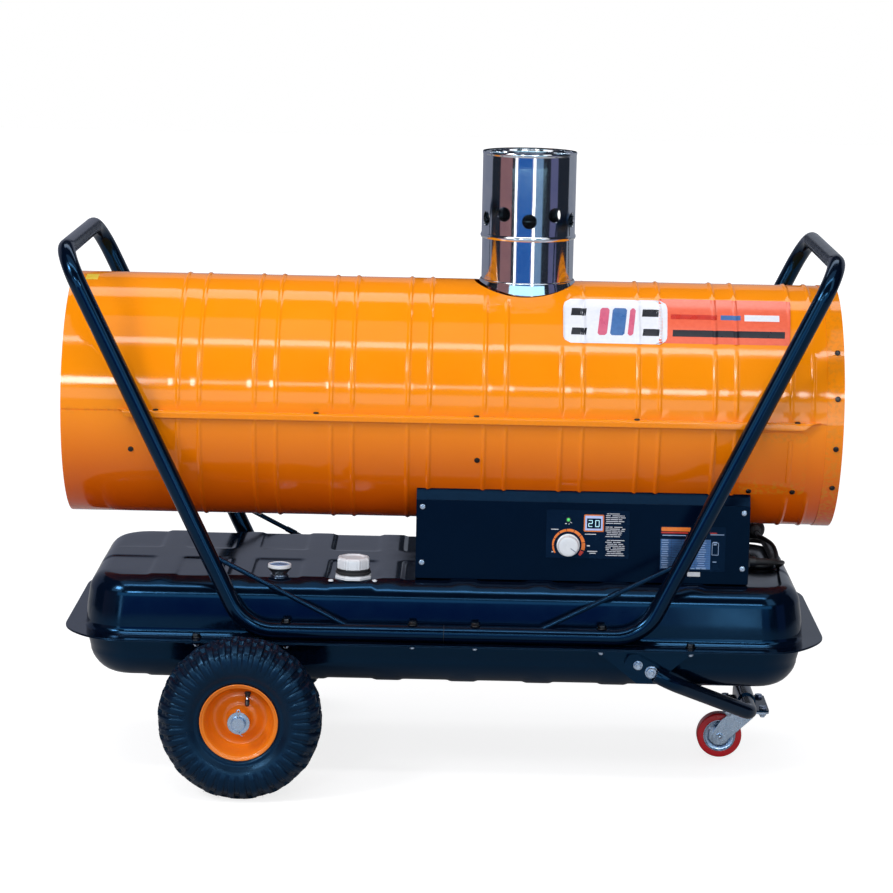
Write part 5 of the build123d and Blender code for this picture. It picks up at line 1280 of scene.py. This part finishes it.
def make_caster():
    """The fork, the ringed hub, the red tread and the bolt of the caster."""
    wheel = at(caster_wheel_x, 0, 0.0375) @ rotation(90, "X")
    tread = turned([(27.2, -12), (34.5, -12.4), (36.2, -11.9), (37.1, -10.6), (37.4, -8.5), (37.5, 0), (37.4, 8.5),
                    (37.1, 10.6), (36.2, 11.9), (34.5, 12.4), (27.2, 12)], 96, closed=True)
    piece("caster_tread_ring", placed(tread, wheel), "caster_tread", body="caster_wheel", stands_for="caster_tyre",
          sharp=40)
    half = [(27.2, 11.2), (26.6, 11.9), (25.6, 11.9), (25, 11.2), (24.6, 9.4), (23.6, 8.8), (21.2, 8.6),
            (20.4, 9.2), (19.2, 10), (18.2, 9.2), (17.2, 8), (12, 7.8), (10.6, 8.4), (10, 10), (9.8, 11), (4.1, 11)]
    hub = turned(half + [(radius, -out) for radius, out in reversed(half)], 96, closed=True)
    piece("caster_ringed_hub", placed(hub, wheel), "zinc", body="caster_wheel", stands_for="caster_hub",
          sharp=40)
    bm = bmesh.new()
    for side in (-1, 1):
        leg = bmesh.new()
        start = side * 0.01725
        outline = [(0.48, 0.079), (0.519, 0.079), (0.5165, 0.07), (0.4735, 0.03), (0.47, 0.0255), (0.462, 0.0225),
                   (0.454, 0.025), (0.451, 0.03), (0.4505, 0.0375), (0.4525, 0.048), (0.464, 0.066)]
        verts = [leg.verts.new((x, start, z)) for x, z in outline]
        leg.faces.new(verts)
        low = [vert for vert in verts if vert.co.z < 0.035]
        bmesh.ops.bevel(leg, geom=low, offset=0.002, segments=3, profile=0.5, affect="VERTICES", material=-1)
        made = bmesh.ops.extrude_face_region(leg, geom=leg.faces[:])["geom"]
        bmesh.ops.translate(leg, verts=parts_of(made)[1], vec=(0, -side * 0.003, 0))
        set_normals(leg)
        add(bm, leg, Matrix.Identity(4))
        leg.free()
    crown = turned([(6.1, 79), (30, 79), (30.4, 79.6), (30, 82.2), (28.8, 82.9), (6.1, 82.9)], 72, closed=True)
    add(bm, crown, at(caster_x, 0, 0))
    crown.free()
    fork = piece("caster_fork_sheet", bm, "zinc", body="caster_swivel", stands_for="caster_fork",
                 sharp=40)
    soften(fork, 0.0005)
    bm = bmesh.new()
    nut = hex_nut(0.0062, 0.004)
    dome = turned([(0, 6.4), (2.2, 6), (3.4, 5), (4, 3.6), (4, 0)], 24)
    for side in (-1, 1):
        place = at(caster_wheel_x, side * 0.01735, 0.0375) @ rotation(-90 * side, "X")
        add(bm, nut, place)
        add(bm, dome, place)
    shank = turned([(0, -17.2), (3.9, -17.2), (3.9, 17.2), (0, 17.2)], 24)
    add(bm, shank, wheel)
    for shape in (nut, dome, shank):
        shape.free()
    piece("caster_bolt", bm, "zinc", body="caster_swivel", stands_for="caster_axle")


make_caster()


# Fasteners

def make_frame_bolts():
    """The black bolts of the flange and tubes, and the plated ones of the caster's leg and plate."""
    black = bmesh.new()
    bright = bmesh.new()
    head = hex_nut(0.0068, 0.005)
    washer = flat_washer(8.5, 4.1, 1.4)
    tail = turned([(0, 0), (4, 0), (4, 7.2), (3.4, 8), (0, 8)], 20)
    flip = Matrix.Rotation(math.pi, 4, "X")
    turn = 0.3
    for side in (-1, 1):
        for way in (-1, 1):
            for distance, top, bottom in ((0.05, 0.2678, 0.2366), (0.252, 0.2678, 0.2336), (0.395, 0.2404, 0.2336)):
                x = tank_middle + way * distance
                y = side * tube_y
                turn += 0.7
                twist = Matrix.Rotation(turn, 4, "Z")
                add(black, head, at(x, y, top + 0.001) @ twist)
                add(black, washer, at(x, y, top))
                add(bright, head, at(x, y, bottom) @ flip @ twist)
                add(bright, tail, at(x, y, bottom) @ flip)
    run = Vector((0.066, 0, -0.033)).normalized()
    for side in (-1, 1):
        outward = rotation(-90 * side, "X")
        for distance, radius in ((0.014, 0.0068), (0.038, 0.0092)):
            place = Vector((0.296, 0, 0.216)) + run * distance
            outer = at(place.x, side * 0.2292, place.z) @ outward
            inner = at(place.x, side * 0.2158, place.z) @ outward @ flip
            big = hex_nut(radius, 0.0055)
            ring = flat_washer(radius * 1120, 4.1, 1.2)
            add(bright, ring, outer)
            add(bright, big, outer @ at(0, 0, 0.0012) @ Matrix.Rotation(0.35, 4, "Z"))
            add(bright, head, inner)
            add(bright, tail, outer @ (at(0, 0, 0.0016)))
            big.free()
            ring.free()
    for sx in (-1, 1):
        for sy in (-1, 1):
            x = caster_x + sx * 0.028
            y = sy * 0.039
            add(bright, head, at(x, y, 0.0925))
            add(bright, head, at(x, y, 0.0865) @ flip)
            add(bright, tail, at(x, y, 0.0865) @ flip)
    for shape in (head, washer, tail):
        shape.free()
    piece("tube_bolts", black, "black_oxide", stands_for="frame_bolts", sharp=30)
    piece("plated_bolts", bright, "zinc", sharp=30)


def make_tube_joints():
    """The fine line where the two handle tubes meet, and the collars on the brace rods."""
    ring = turned([(13.85, -0.4), (14.12, -0.3), (14.12, 0.3), (13.85, 0.4)], 48, closed=True)
    places = [at(tank_middle, side * tube_y, 0.254) @ TO_X for side in (-1, 1)]
    piece("tube_joint_lines", placed(ring, *places), "gasket_rubber")
    bm = bmesh.new()
    collar = turned([(4, -10), (4.8, -9.4), (5, -8), (5, 8), (4.8, 9.4), (4, 10)], 24, closed=True)
    for way in (-1, 1):
        high = Vector((tank_middle + way * 0.3778, 0, 0.378))
        low = Vector((tank_middle + way * 0.134, 0, 0.254))
        middle = low + (high - low) * 0.56
        slant = (high - low).normalized().to_track_quat("Z", "Y").to_matrix().to_4x4()
        for side in (-1, 1):
            add(bm, collar, at(middle.x, side * tube_y, middle.z) @ slant)
    collar.free()
    piece("rod_collars", bm, "frame_paint")


make_frame_bolts()
make_tube_joints()


# Controls

face_y = -0.167
knob_x = 0.194
knob_z = 0.391
knob_y = -0.1683


def on_face(x, z, out=0.0):
    """A place on the control face, Z pointing to the front."""
    return at(x, face_y - out, z) @ TO_FRONT


def flat_piece(name, finish, shapes, thickness=0.00012, out=0.001, stands_for=None, corner=0.0):
    """Thin printed or cut shapes on the control face, each as middle x, middle z, width, height and turn."""
    bm = bmesh.new()
    for x, z, width, height, turn in shapes:
        shape = prism(width, height, thickness, min(corner, width * 0.49, height * 0.49), 5)
        add(bm, shape, on_face(x, z, out) @ rotation(turn, "Z"))
        shape.free()
    return piece(name, bm, finish, stands_for=stands_for)


def print_column(left, top, width, rows, pitch, height):
    """Rows of short printed bars of uneven length, with a gap between the groups."""
    for row in range(rows):
        if row in (6, 13):
            continue
        share = random.uniform(0.74, 1.0)
        middle = left + (width / 2 if row > 15 else width * share / 2)
        start = middle - width * share / 2
        end = start + width * share
        spots = sorted(random.uniform(start, end) for cut in range(3))
        for low, high in zip([start] + spots, spots + [end]):
            if high - low > 0.003:
                yield ((low + high) / 2, top - row * pitch, high - low - 0.0009, height, 0)


def arc_bar(sweep, radius, width, last_width):
    """A flat curved bar on the ground from the angle 0 over a sweep in degrees, growing along its way."""
    bm = bmesh.new()
    line(bm, [(radius + way * width / 2, 0, 0) for way in (-1, 1)])
    spin(bm, (0, 0, 1), sweep, 6)
    for vert in bm.verts:
        along = math.degrees(math.atan2(vert.co.y, vert.co.x)) / sweep
        wide = width + (last_width - width) * along
        vert.co *= (radius + math.copysign(wide / 2, vert.co.length - radius)) / vert.co.length
    made = bmesh.ops.extrude_face_region(bm, geom=bm.faces[:])["geom"]
    bmesh.ops.translate(bm, verts=parts_of(made)[1], vec=(0, 0, 0.00012))
    set_normals(bm)
    return bm


def make_control_face():
    """The face plate with rounded edges."""
    width = 0.536
    low = 0.3315
    high = 0.46
    bm = placed(prism(width, high - low, 0.002, 0.0015, 3), on_face(-0.051 + width / 2, (low + high) / 2, -0.002))
    plate = piece("face_plate", bm, "panel_paint", stands_for="control_face")
    soften(plate, 0.0007, 3)


def make_panel():
    """The control panel's film with its printed scale, lamp, display and plain rows of print."""
    obj = flat_piece("panel_film_plate", "panel_film", [(0.225, 0.409, 0.134, 0.079, 0)], thickness=0.0009,
                     out=0.0001, stands_for="control_panel", corner=0.003)
    soften(obj, 0.0003)
    bm = bmesh.new()
    count = 8
    for number in range(count):
        start = 212 - number * 29
        wide = 0.0024 + 0.0032 * number / (count - 1)
        wider = 0.0024 + 0.0032 * (number + 0.8) / (count - 1)
        shape = arc_bar(-27, 0.0245, wide, wider)
        add(bm, shape, on_face(knob_x, knob_z, 0.001) @ rotation(start, "Z"))
        shape.free()
    piece("scale_segments", bm, "print_orange")
    red_end = placed(arc_bar(-19, 0.0242, 0.0062, 0.004), on_face(knob_x, knob_z, 0.001) @ rotation(-23, "Z"))
    piece("scale_red_end", red_end, "print_red")
    rows = list(print_column(0.253, 0.4435, 0.033, 23, 0.0031, 0.0011))
    rows += [(0.165 + 0.007, 0.4165, 0.012, 0.0012, 0), (0.2295, 0.4095, 0.018, 0.0012, 0),
             (0.2265, 0.3905, 0.005, 0.0018, 0), (0.233, 0.3815, 0.016, 0.0012, 0),
             (0.2335, 0.3785, 0.01, 0.0012, 0), (0.169, 0.3795, 0.003, 0.0016, 0),
             (0.1895, 0.4262, 0.003, 0.0012, 0), (0.1975, 0.4282, 0.0035, 0.001, -35),
             (0.1945, 0.4255, 0.002, 0.001, 40)]
    flat_piece("panel_print", "print_white", rows)
    lamp = turned([(0, 3.2), (1.4, 2.9), (2.4, 2), (2.8, 0.8), (2.8, 0)], 28)
    bezel = turned([(2.8, 0), (4.4, 0), (4.3, 0.8), (3.6, 1.2), (2.8, 1)], 28,
                   closed=True)
    for name, shape, finish in (("green_lamp", lamp, "lamp_green"), ("lamp_bezel", bezel, "gasket_rubber")):
        piece(name, placed(shape, on_face(0.1935, 0.4325, 0.001)), finish)
    x = 0.2345
    z = 0.4277
    width = 0.0305
    height = 0.0262
    frame_bar = 0.0016
    edges = [(x, z + height / 2, width, frame_bar, 0), (x, z - height / 2, width, frame_bar, 0),
             (x - width / 2, z, frame_bar, height, 0), (x + width / 2, z, frame_bar, height, 0)]
    flat_piece("display_frame", "print_orange", edges, thickness=0.0002)
    flat_piece("display_bezel", "display_glow", [(x, z, width - 0.0022, height - 0.0022, 0)], thickness=0.00015)
    flat_piece("display_window", "panel_film", [(x, z - 0.0005, 0.0225, 0.0165, 0)], thickness=0.0004, corner=0.001)
    flat_piece("display_digits", "digit_glow", list(seven_segments(x - 0.0055, z - 0.0005, "20")), thickness=0.0005)


def seven_segments(left, middle, figures):
    """The lit bars of plain figures, 11 mm apart."""
    half = 0.005
    wide = 0.0058
    bars = {"top": (0, half, wide, 0.0011), "mid": (0, 0, wide, 0.0011), "low": (0, -half, wide, 0.0011),
            "ul": (-wide / 2, half / 2, 0.0011, half), "ur": (wide / 2, half / 2, 0.0011, half),
            "ll": (-wide / 2, -half / 2, 0.0011, half), "lr": (wide / 2, -half / 2, 0.0011, half)}
    lit = {"2": ("top", "ur", "mid", "ll", "low"), "0": ("top", "ul", "ur", "ll", "lr", "low")}
    for place, figure in enumerate(figures):
        for label in lit[figure]:
            x, z, width, height = bars[label]
            yield (left + 0.011 * place + x, middle + z, width, height, 0)


def make_rating_plate():
    """The ruled plate: dark film, a paler table, an orange heading bar and plain bars for its lines."""
    left = 0.341
    right = 0.447
    top = 0.4255
    low = 0.352
    obj = flat_piece("plate_film", "panel_film", [((left + right) / 2, (top + low) / 2, right - left, top - low, 0)],
                     thickness=0.0007, out=0.0001, stands_for="rating_plate", corner=0.002)
    soften(obj, 0.0002)
    table_right = 0.423
    flat_piece("plate_table", "plate_foil", [((left + table_right) / 2 + 0.0008, 0.38, table_right - left - 0.0016,
                                              0.049, 0)], out=0.0008)
    flat_piece("plate_heading", "print_orange", [(0.3665, 0.4205, 0.047, 0.0066, 0)], out=0.0008, corner=0.001)
    flat_piece("plate_heading_line", "print_red", [(0.3645, 0.4148, 0.043, 0.0022, 0), (0.427, 0.4152, 0.011,
                                                                                         0.0014, 0)], out=0.0008)
    rows = [(0.364, 0.4105, 0.038, 0.0014, 0), (0.3915, 0.4195, 0.0016, 0.0085, -14), (0.433, 0.4128, 0.022,
                                                                                         0.0012, 0)]
    for row in range(13):
        z = 0.4025 - row * 0.0037
        rows.append((left + 0.0012 + 0.0075, z, 0.01 + 0.002 * math.sin(row * 2.1), 0.0011, 0))
        rows.append((0.387, z, 0.009 + 0.003 * math.sin(row * 1.3), 0.0011, 0))
        rows.append((0.4085, z, 0.012 + 0.003 * math.sin(row * 1.7), 0.0011, 0))
    rows += [(0.43, 0.4002, 0.007, 0.0016, 0), (0.43, 0.3965, 0.005, 0.0016, 0), (0.43, 0.368, 0.006, 0.0014, 0)]
    rows += [(0.395 + 0.009 * number, 0.3565, 0.0065, 0.0012, 0) for number in range(3)]
    rows += [(0.4255, 0.3895, 0.0008, 0.02, 0), (0.4355, 0.3895, 0.0008, 0.02, 0), (0.4305, 0.3995 - 0.0003, 0.01,
                                                                                       0.0008, 0),
             (0.4305, 0.3795, 0.01, 0.0008, 0)]
    flat_piece("plate_print", "print_pale", rows, out=0.00095)
    rules = [((left + table_right) / 2, 0.4044 - 0.0037 * row, table_right - left - 0.003, 0.00035, 0)
             for row in range(14)]
    rules += [(x, 0.38, 0.00035, 0.0486, 0) for x in (0.36, 0.3755, 0.3985)]
    flat_piece("plate_rules", "print_black", rules, out=0.00093)
    flat_piece("plate_tag", "print_white", [(0.3972, 0.347, 0.0205, 0.0072, 0)], out=0.0001, thickness=0.0003,
               corner=0.0006)


def make_knob():
    """The pale knob with its fluted grip, soft crown and pointer notch."""
    profile = [(17.8, 0), (18.5, 0.6), (18.5, 2.4), (17.6, 3.2), (16.8, 3.6), (16.6, 5.2), (16.4, 10), (16.2, 12.8),
               (15.4, 14.3), (14, 14.9), (10, 15), (5, 15.05), (0, 15.1)]
    bm = turned(profile, 144)
    for vert in bm.verts:
        radius = math.hypot(vert.co.x, vert.co.y)
        angle = math.atan2(vert.co.y, vert.co.x)
        if 0.0155 < radius < 0.0172 and vert.co.z > 0.003:
            scale = 1 - 0.014 * (0.5 + 0.5 * math.cos(36 * angle))
            vert.co.x *= scale
            vert.co.y *= scale
    rotate(bm, 90, "X")
    shift(bm, knob_x, knob_y, knob_z)
    piece("thermostat_dial_cap", bm, "knob_plastic", body="thermostat_dial", stands_for="thermostat_knob")
    place = at(knob_x, knob_y - 0.01495, knob_z) @ TO_FRONT @ rotation(-125, "Z") @ at(0, 0.0095, 0)
    pointer = placed(prism(0.0016, 0.011, 0.0003, 0.0007, 4), place)
    piece("dial_pointer", pointer, "print_grey", body="thermostat_dial")


make_control_face()
make_panel()
make_rating_plate()
make_knob()


# Labels on the drum

def bead_rise(x):
    """How high the casing's beads stand at a place along it."""
    away = min(abs(x - bead) for bead in bead_places)
    return 0.002 * (1 - smooth(0.0008, 0.0048, away))


def drum_label(name, finish, lower, upper, low_z, high_z, lift, corner=0.0):
    """A thin sticker on the drum: its ends run from the lower to the upper pair of x values."""
    columns = max(4, int((lower[1] - lower[0]) / 0.0016))
    rows = 14
    bm = bmesh.new()
    bmesh.ops.create_grid(bm, x_segments=columns, y_segments=rows, size=0.5)
    for vert in bm.verts:
        share = vert.co.x + 0.5
        up = vert.co.y + 0.5
        z = low_z + (high_z - low_z) * up
        inset = 0.0
        edge = min(up, 1 - up) * (high_z - low_z)
        if corner and edge < corner:
            inset = corner - math.sqrt(corner ** 2 - (corner - edge) ** 2)
        left = lower[0] + (upper[0] - lower[0]) * up + inset
        right = lower[1] + (upper[1] - lower[1]) * up - inset
        x = left + (right - left) * share
        radius = drum_radius + bead_rise(x) + lift
        vert.co = (x, -math.sqrt(radius ** 2 - (z - drum_z) ** 2), z)
    set_normals(bm)
    piece(name, bm, finish)


def make_labels():
    """The plain red band, its pale panel with coloured bars, and the small yellow label."""
    drum_label("red_band", "band_red", (0.33, 0.538), (0.332, 0.544), 0.72, 0.781, 0.00012)
    drum_label("pale_panel", "label_white", (0.1775, 0.343), (0.178, 0.346), 0.718, 0.779, 0.00022, 0.012)
    bars = (("panel_bar_rose", "print_rose", 0.232, 0.247), ("panel_bar_blue", "print_blue", 0.252, 0.275),
            ("panel_bar_rose_two", "print_rose", 0.28, 0.289))
    for name, finish, left, right in bars:
        drum_label(name, finish, (left, right), (left + 0.006, right + 0.006), 0.73, 0.768, 0.00032, 0.003)
    for number, (left, right) in enumerate(((0.19, 0.214), (0.304, 0.33))):
        for row in range(2):
            low = 0.73 + 0.027 * row
            drum_label(f"panel_dash_{number}_{row}", "print_black", (left, right), (left + 0.002, right + 0.002),
                       low, low + 0.01, 0.00032)
    drum_label("band_line_blue", "print_blue", (0.43, 0.462), (0.4305, 0.4625), 0.7545, 0.761, 0.00024)
    drum_label("band_line_red", "print_red", (0.35, 0.424), (0.3505, 0.4245), 0.7545, 0.761, 0.00024)
    drum_label("band_line_white", "label_white", (0.468, 0.524), (0.4685, 0.5245), 0.7535, 0.762, 0.00024)
    drum_label("band_line_dark", "print_black", (0.352, 0.531), (0.353, 0.532), 0.73, 0.7395, 0.00024)
    drum_label("yellow_label", "label_yellow", (-0.597, -0.577), (-0.597, -0.577), 0.7905, 0.796, 0.0002)


make_labels()


# Cord fittings

def make_strain_relief():
    """The ribbed, tapered sleeve that guides the cord out of the gland."""
    thread = bpy.data.objects.new("cord_line", cord_curve("cord_line"))
    traced = bpy.data.meshes.new_from_object(thread)
    route = [vert.co.copy() for vert in traced.vertices]
    bpy.data.meshes.remove(traced)
    bpy.data.objects.remove(thread)
    bm = bmesh.new()
    ring = bmesh.ops.create_circle(bm, segments=28, radius=1.0)["verts"]
    edges = bm.edges[:]
    shape = [vert.co.copy() for vert in ring]
    bmesh.ops.contextual_create(bm, geom=edges)
    length = 0.0
    previous = route[0]
    for number, place in enumerate(route):
        length += (place - previous).length
        ahead = (route[number + 1] - route[max(0, number - 1)]).normalized()
        previous = place
        radius = 0.0066 - 0.0022 * length / 0.038 - (0.0007 if number % 2 else 0.0)
        turn = Matrix.Translation(place) @ ahead.to_track_quat("Z", "Y").to_matrix().to_4x4()
        for vert, flat in zip(ring, shape):
            vert.co = turn @ (flat * radius)
        if length > 0.038:
            break
        edges, ring = extended(bm, edges)
    bmesh.ops.contextual_create(bm, geom=edges)
    set_normals(bm)
    piece("cord_sleeve", bm, "gasket_rubber", sharp=50)


def make_plug():
    """The moulded plug: ribbed boot, grip with finger ribs, face and two round pins with sleeves."""
    place = at(0.524, 0.11, 0.3605) @ rotation(-90, "X")
    profile = [(0, 0), (5.2, 0)]
    for rib in range(5):
        base = 0.8 + rib * 4.6
        size = 5.8 + 0.8 * rib
        profile += [(size, base), (size + 0.4, base + 2.8), (size - 1, base + 3.2),
                    (size - 1, base + 4.2)]
    profile += [(10, 25), (14, 27), (16.2, 30), (16.8, 34.5)]
    for rib in range(4):
        base = 36.5 + rib * 4.8
        profile += [(16.8, base), (15.8, base + 0.8), (15.8, base + 2), (16.8, base + 2.8)]
    profile += [(16.9, 57.5), (16.6, 60.8), (15.6, 61.8), (0, 61.8)]
    piece("mains_plug_body", placed(turned(profile, 56), place), "cord_rubber", stands_for="power_plug",
          sharp=40)
    sleeve = [(0, 61.6), (2.4, 61.6), (2.4, 70), (0, 70)]
    pin = [(0, 70), (2.3, 70), (2.3, 79.2), (1.6, 80.6), (0, 80.8)]
    places = [place @ at(way * 0.0095, 0, 0) for way in (-1, 1)]
    for name, section, finish in (("mains_pin_sleeves", sleeve, "dark_plastic"), ("mains_pins", pin, "zinc")):
        piece(name, placed(turned(section, 20), *places), finish)


make_plug()
make_cord()
make_strain_relief()


# Floor, light and camera

def make_floor():
    bm = bmesh.new()
    bmesh.ops.create_grid(bm, x_segments=1, y_segments=1, size=14.0)
    mesh = mesh_of("floor", bm)
    floor = linked("floor", mesh)
    finish = Finish("pale_floor", (0.4, 0.4, 0.41), 0.5, sockets={"Specular IOR Level": 0.2})
    mesh.materials.append(finish.done())
    tree = finish.tree
    shader = finish.shader
    rays = node(tree, "LightPath")
    camera = node(tree, "Math", operation="MULTIPLY", values={1: 0.78}, links={0: rays.outputs["Is Camera Ray"]})
    other = node(tree, "Math", operation="ADD", use_clamp=True,
                 links={0: rays.outputs["Is Glossy Ray"], 1: rays.outputs["Is Transmission Ray"]})
    glow = node(tree, "Math", operation="MULTIPLY_ADD", values={1: 0.04},
                links={0: other.outputs[0], 2: camera.outputs[0]})
    tree.links.new(glow.outputs[0], shader.inputs["Emission Strength"])
    shader.inputs["Emission Color"].default_value = (1, 1, 1, 1)


def studio_piece(name, bm, colour, level):
    """A screen or bright panel of the studio, which only shows in what is glossy."""
    mesh = mesh_of(name, bm)
    finish = Finish(name, (0, 0, 0), 0.5, sockets={"Specular IOR Level": 0.0, "Emission Color": (*colour, 1),
                                                   "Emission Strength": level})
    mesh.materials.append(finish.done())
    obj = linked(name, mesh)
    for kind in ("camera", "diffuse", "transmission", "volume_scatter", "shadow"):
        setattr(obj, "visible_" + kind, False)


def make_dark_tent():
    """A dark round screen with a closed top, so that the gloss has something dark to mirror."""
    bm = bmesh.new()
    bmesh.ops.create_cone(bm, cap_ends=True, segments=96, radius1=4.5, radius2=4.5, depth=5.0)
    shift(bm, 0, 0, 2.5)
    floor = [face for face in bm.faces if face.calc_center_median().z < 0.1]
    bmesh.ops.delete(bm, geom=floor, context="FACES_ONLY")
    studio_piece("studio_tent", bm, (0.55, 0.7, 1.0), 0.035)


def make_card(name, first, last, low, high, level, colour):
    """An upright curved card between two azimuths, which run from the front to the right, in degrees."""
    bm = bmesh.new()
    line(bm, [(0, -4.2, height) for height in (low, high)])
    rotate(bm, first, "Z")
    spin(bm, (0, 0, 1), last - first, max(1, round((last - first) / 5)))
    studio_piece(name, bm, colour, level)


def make_overhead_card():
    """A broad bright card over the front half, which the rounded edges mirror as a soft band."""
    bm = bmesh.new()
    bmesh.ops.create_grid(bm, x_segments=1, y_segments=1, size=0.5)
    bmesh.ops.scale(bm, verts=bm.verts[:], vec=(4.4, 2.4, 1))
    shift(bm, 0, -1.6, 4.2)
    studio_piece("overhead_card", bm, (0.85, 0.93, 1.0), 0.9)


def make_world():
    world = bpy.data.worlds.new("studio")
    scene.world = world
    world.use_nodes = True
    tree = world.node_tree
    back = tree.nodes["Background"]
    back.inputs["Color"].default_value = (1, 1, 1, 1)
    rays = node(tree, "LightPath")
    first = node(tree, "Math", operation="ADD", use_clamp=True,
                 links={0: rays.outputs["Is Camera Ray"], 1: rays.outputs["Is Glossy Ray"]})
    seen = node(tree, "Math", operation="ADD", use_clamp=True,
                links={0: first.outputs[0], 1: rays.outputs["Is Transmission Ray"]})
    level = node(tree, "MapRange", values={"To Min": 0.6, "To Max": 1.0}, links={"Value": seen.outputs[0]})
    tree.links.new(level.outputs[0], back.inputs["Strength"])


def make_lamp(name, place, aim, width, depth, level):
    """A soft box; level is its brightness, where 1 is white."""
    data = bpy.data.lights.new(name, "AREA")
    data.shape = "RECTANGLE"
    data.size = width
    data.size_y = depth
    data.energy = level * math.pi * width * depth
    lamp = linked(name, data)
    lamp.location = place
    lamp.rotation_euler = (Vector(aim) - Vector(place)).to_track_quat("-Z", "Y").to_euler()


def make_camera():
    data = bpy.data.cameras.new("camera")
    data.sensor_width = 36.0
    data.lens = 3046.9 / 893 * 36.0
    data.clip_end = 60.0
    yaw, pitch, roll = (math.radians(angle) for angle in (-0.24, -9.98, 1.15))
    ahead = Vector((math.sin(yaw) * math.cos(pitch), math.cos(yaw) * math.cos(pitch), math.sin(pitch)))
    side = Vector((math.cos(yaw), -math.sin(yaw), 0))
    up = side.cross(ahead)
    right = side * math.cos(roll) + up * math.sin(roll)
    top = up * math.cos(roll) - side * math.sin(roll)
    turn = Matrix((right, top, -ahead)).transposed().to_4x4()
    camera = linked("camera", data)
    camera.matrix_world = Matrix.Translation((0.0154, -4.9661, 1.392)) @ turn
    scene.camera = camera


make_floor()
make_world()
make_dark_tent()
make_overhead_card()
for name, first, last, low, high, level, colour in (
        ("card_far_left", -178, -104, 0.0, 3.0, 0.32, (0.75, 0.8, 1.0)),
        ("card_left_rose", -76, -42, 0.0, 1.2, 0.3, (1.0, 0.5, 0.52)),
        ("card_left_line", -34, -29, 0.0, 0.71, 3.0, (1, 1, 1)),
        ("card_left_tall", -60, -34, 1.6, 4.8, 1.6, (1, 1, 1)),
        ("card_front", -28, 9, 0.0, 0.71, 0.45, (0.05, 0.28, 1.0)),
        ("card_horizon", -42, 42, 0.72, 1.42, 1.9, (0.5, 0.84, 1.0)),
        ("card_right_line", 10, 16, 0.0, 0.71, 3.0, (1, 1, 1)),
        ("card_right_tall", 34, 54, 1.6, 4.8, 1.6, (1, 1, 1)),
        ("card_right", 17, 34, 0.0, 0.71, 0.5, (0.38, 0.64, 1.0)),
        ("card_right_lilac", 53, 74, 0.0, 1.2, 0.25, (0.5, 0.52, 1.0)),
        ("card_far_right", 112, 178, 0.0, 3.0, 0.36, (0.8, 0.86, 1.0))):
    make_card(name, first, last, low, high, level, colour)
for name, place, aim_x, width, depth, level in (
        ("front_box", (0.0, -4.0, 1.95), 0, 3.4, 0.2, 6.0),
        ("front_left_box", (-1.15, -3.95, 1.92), -0.5, 0.4, 0.45, 20.0),
        ("front_right_box", (0.95, -3.95, 1.92), 0.5, 0.9, 0.36, 9.0),
        ("over_box", (0.0, -1.9, 3.6), 0, 3.4, 0.34, 8.0),
        ("top_box", (0.0, 1.4, 3.4), 0, 3.6, 0.8, 2.5),
        ("key_box", (-2.5, -2.3, 2.7), 0, 0.8, 0.8, 24.0)):
    make_lamp(name, place, (aim_x, 0, 0.7), width, depth, level)
make_camera()
scene.view_settings.view_transform = "Standard"
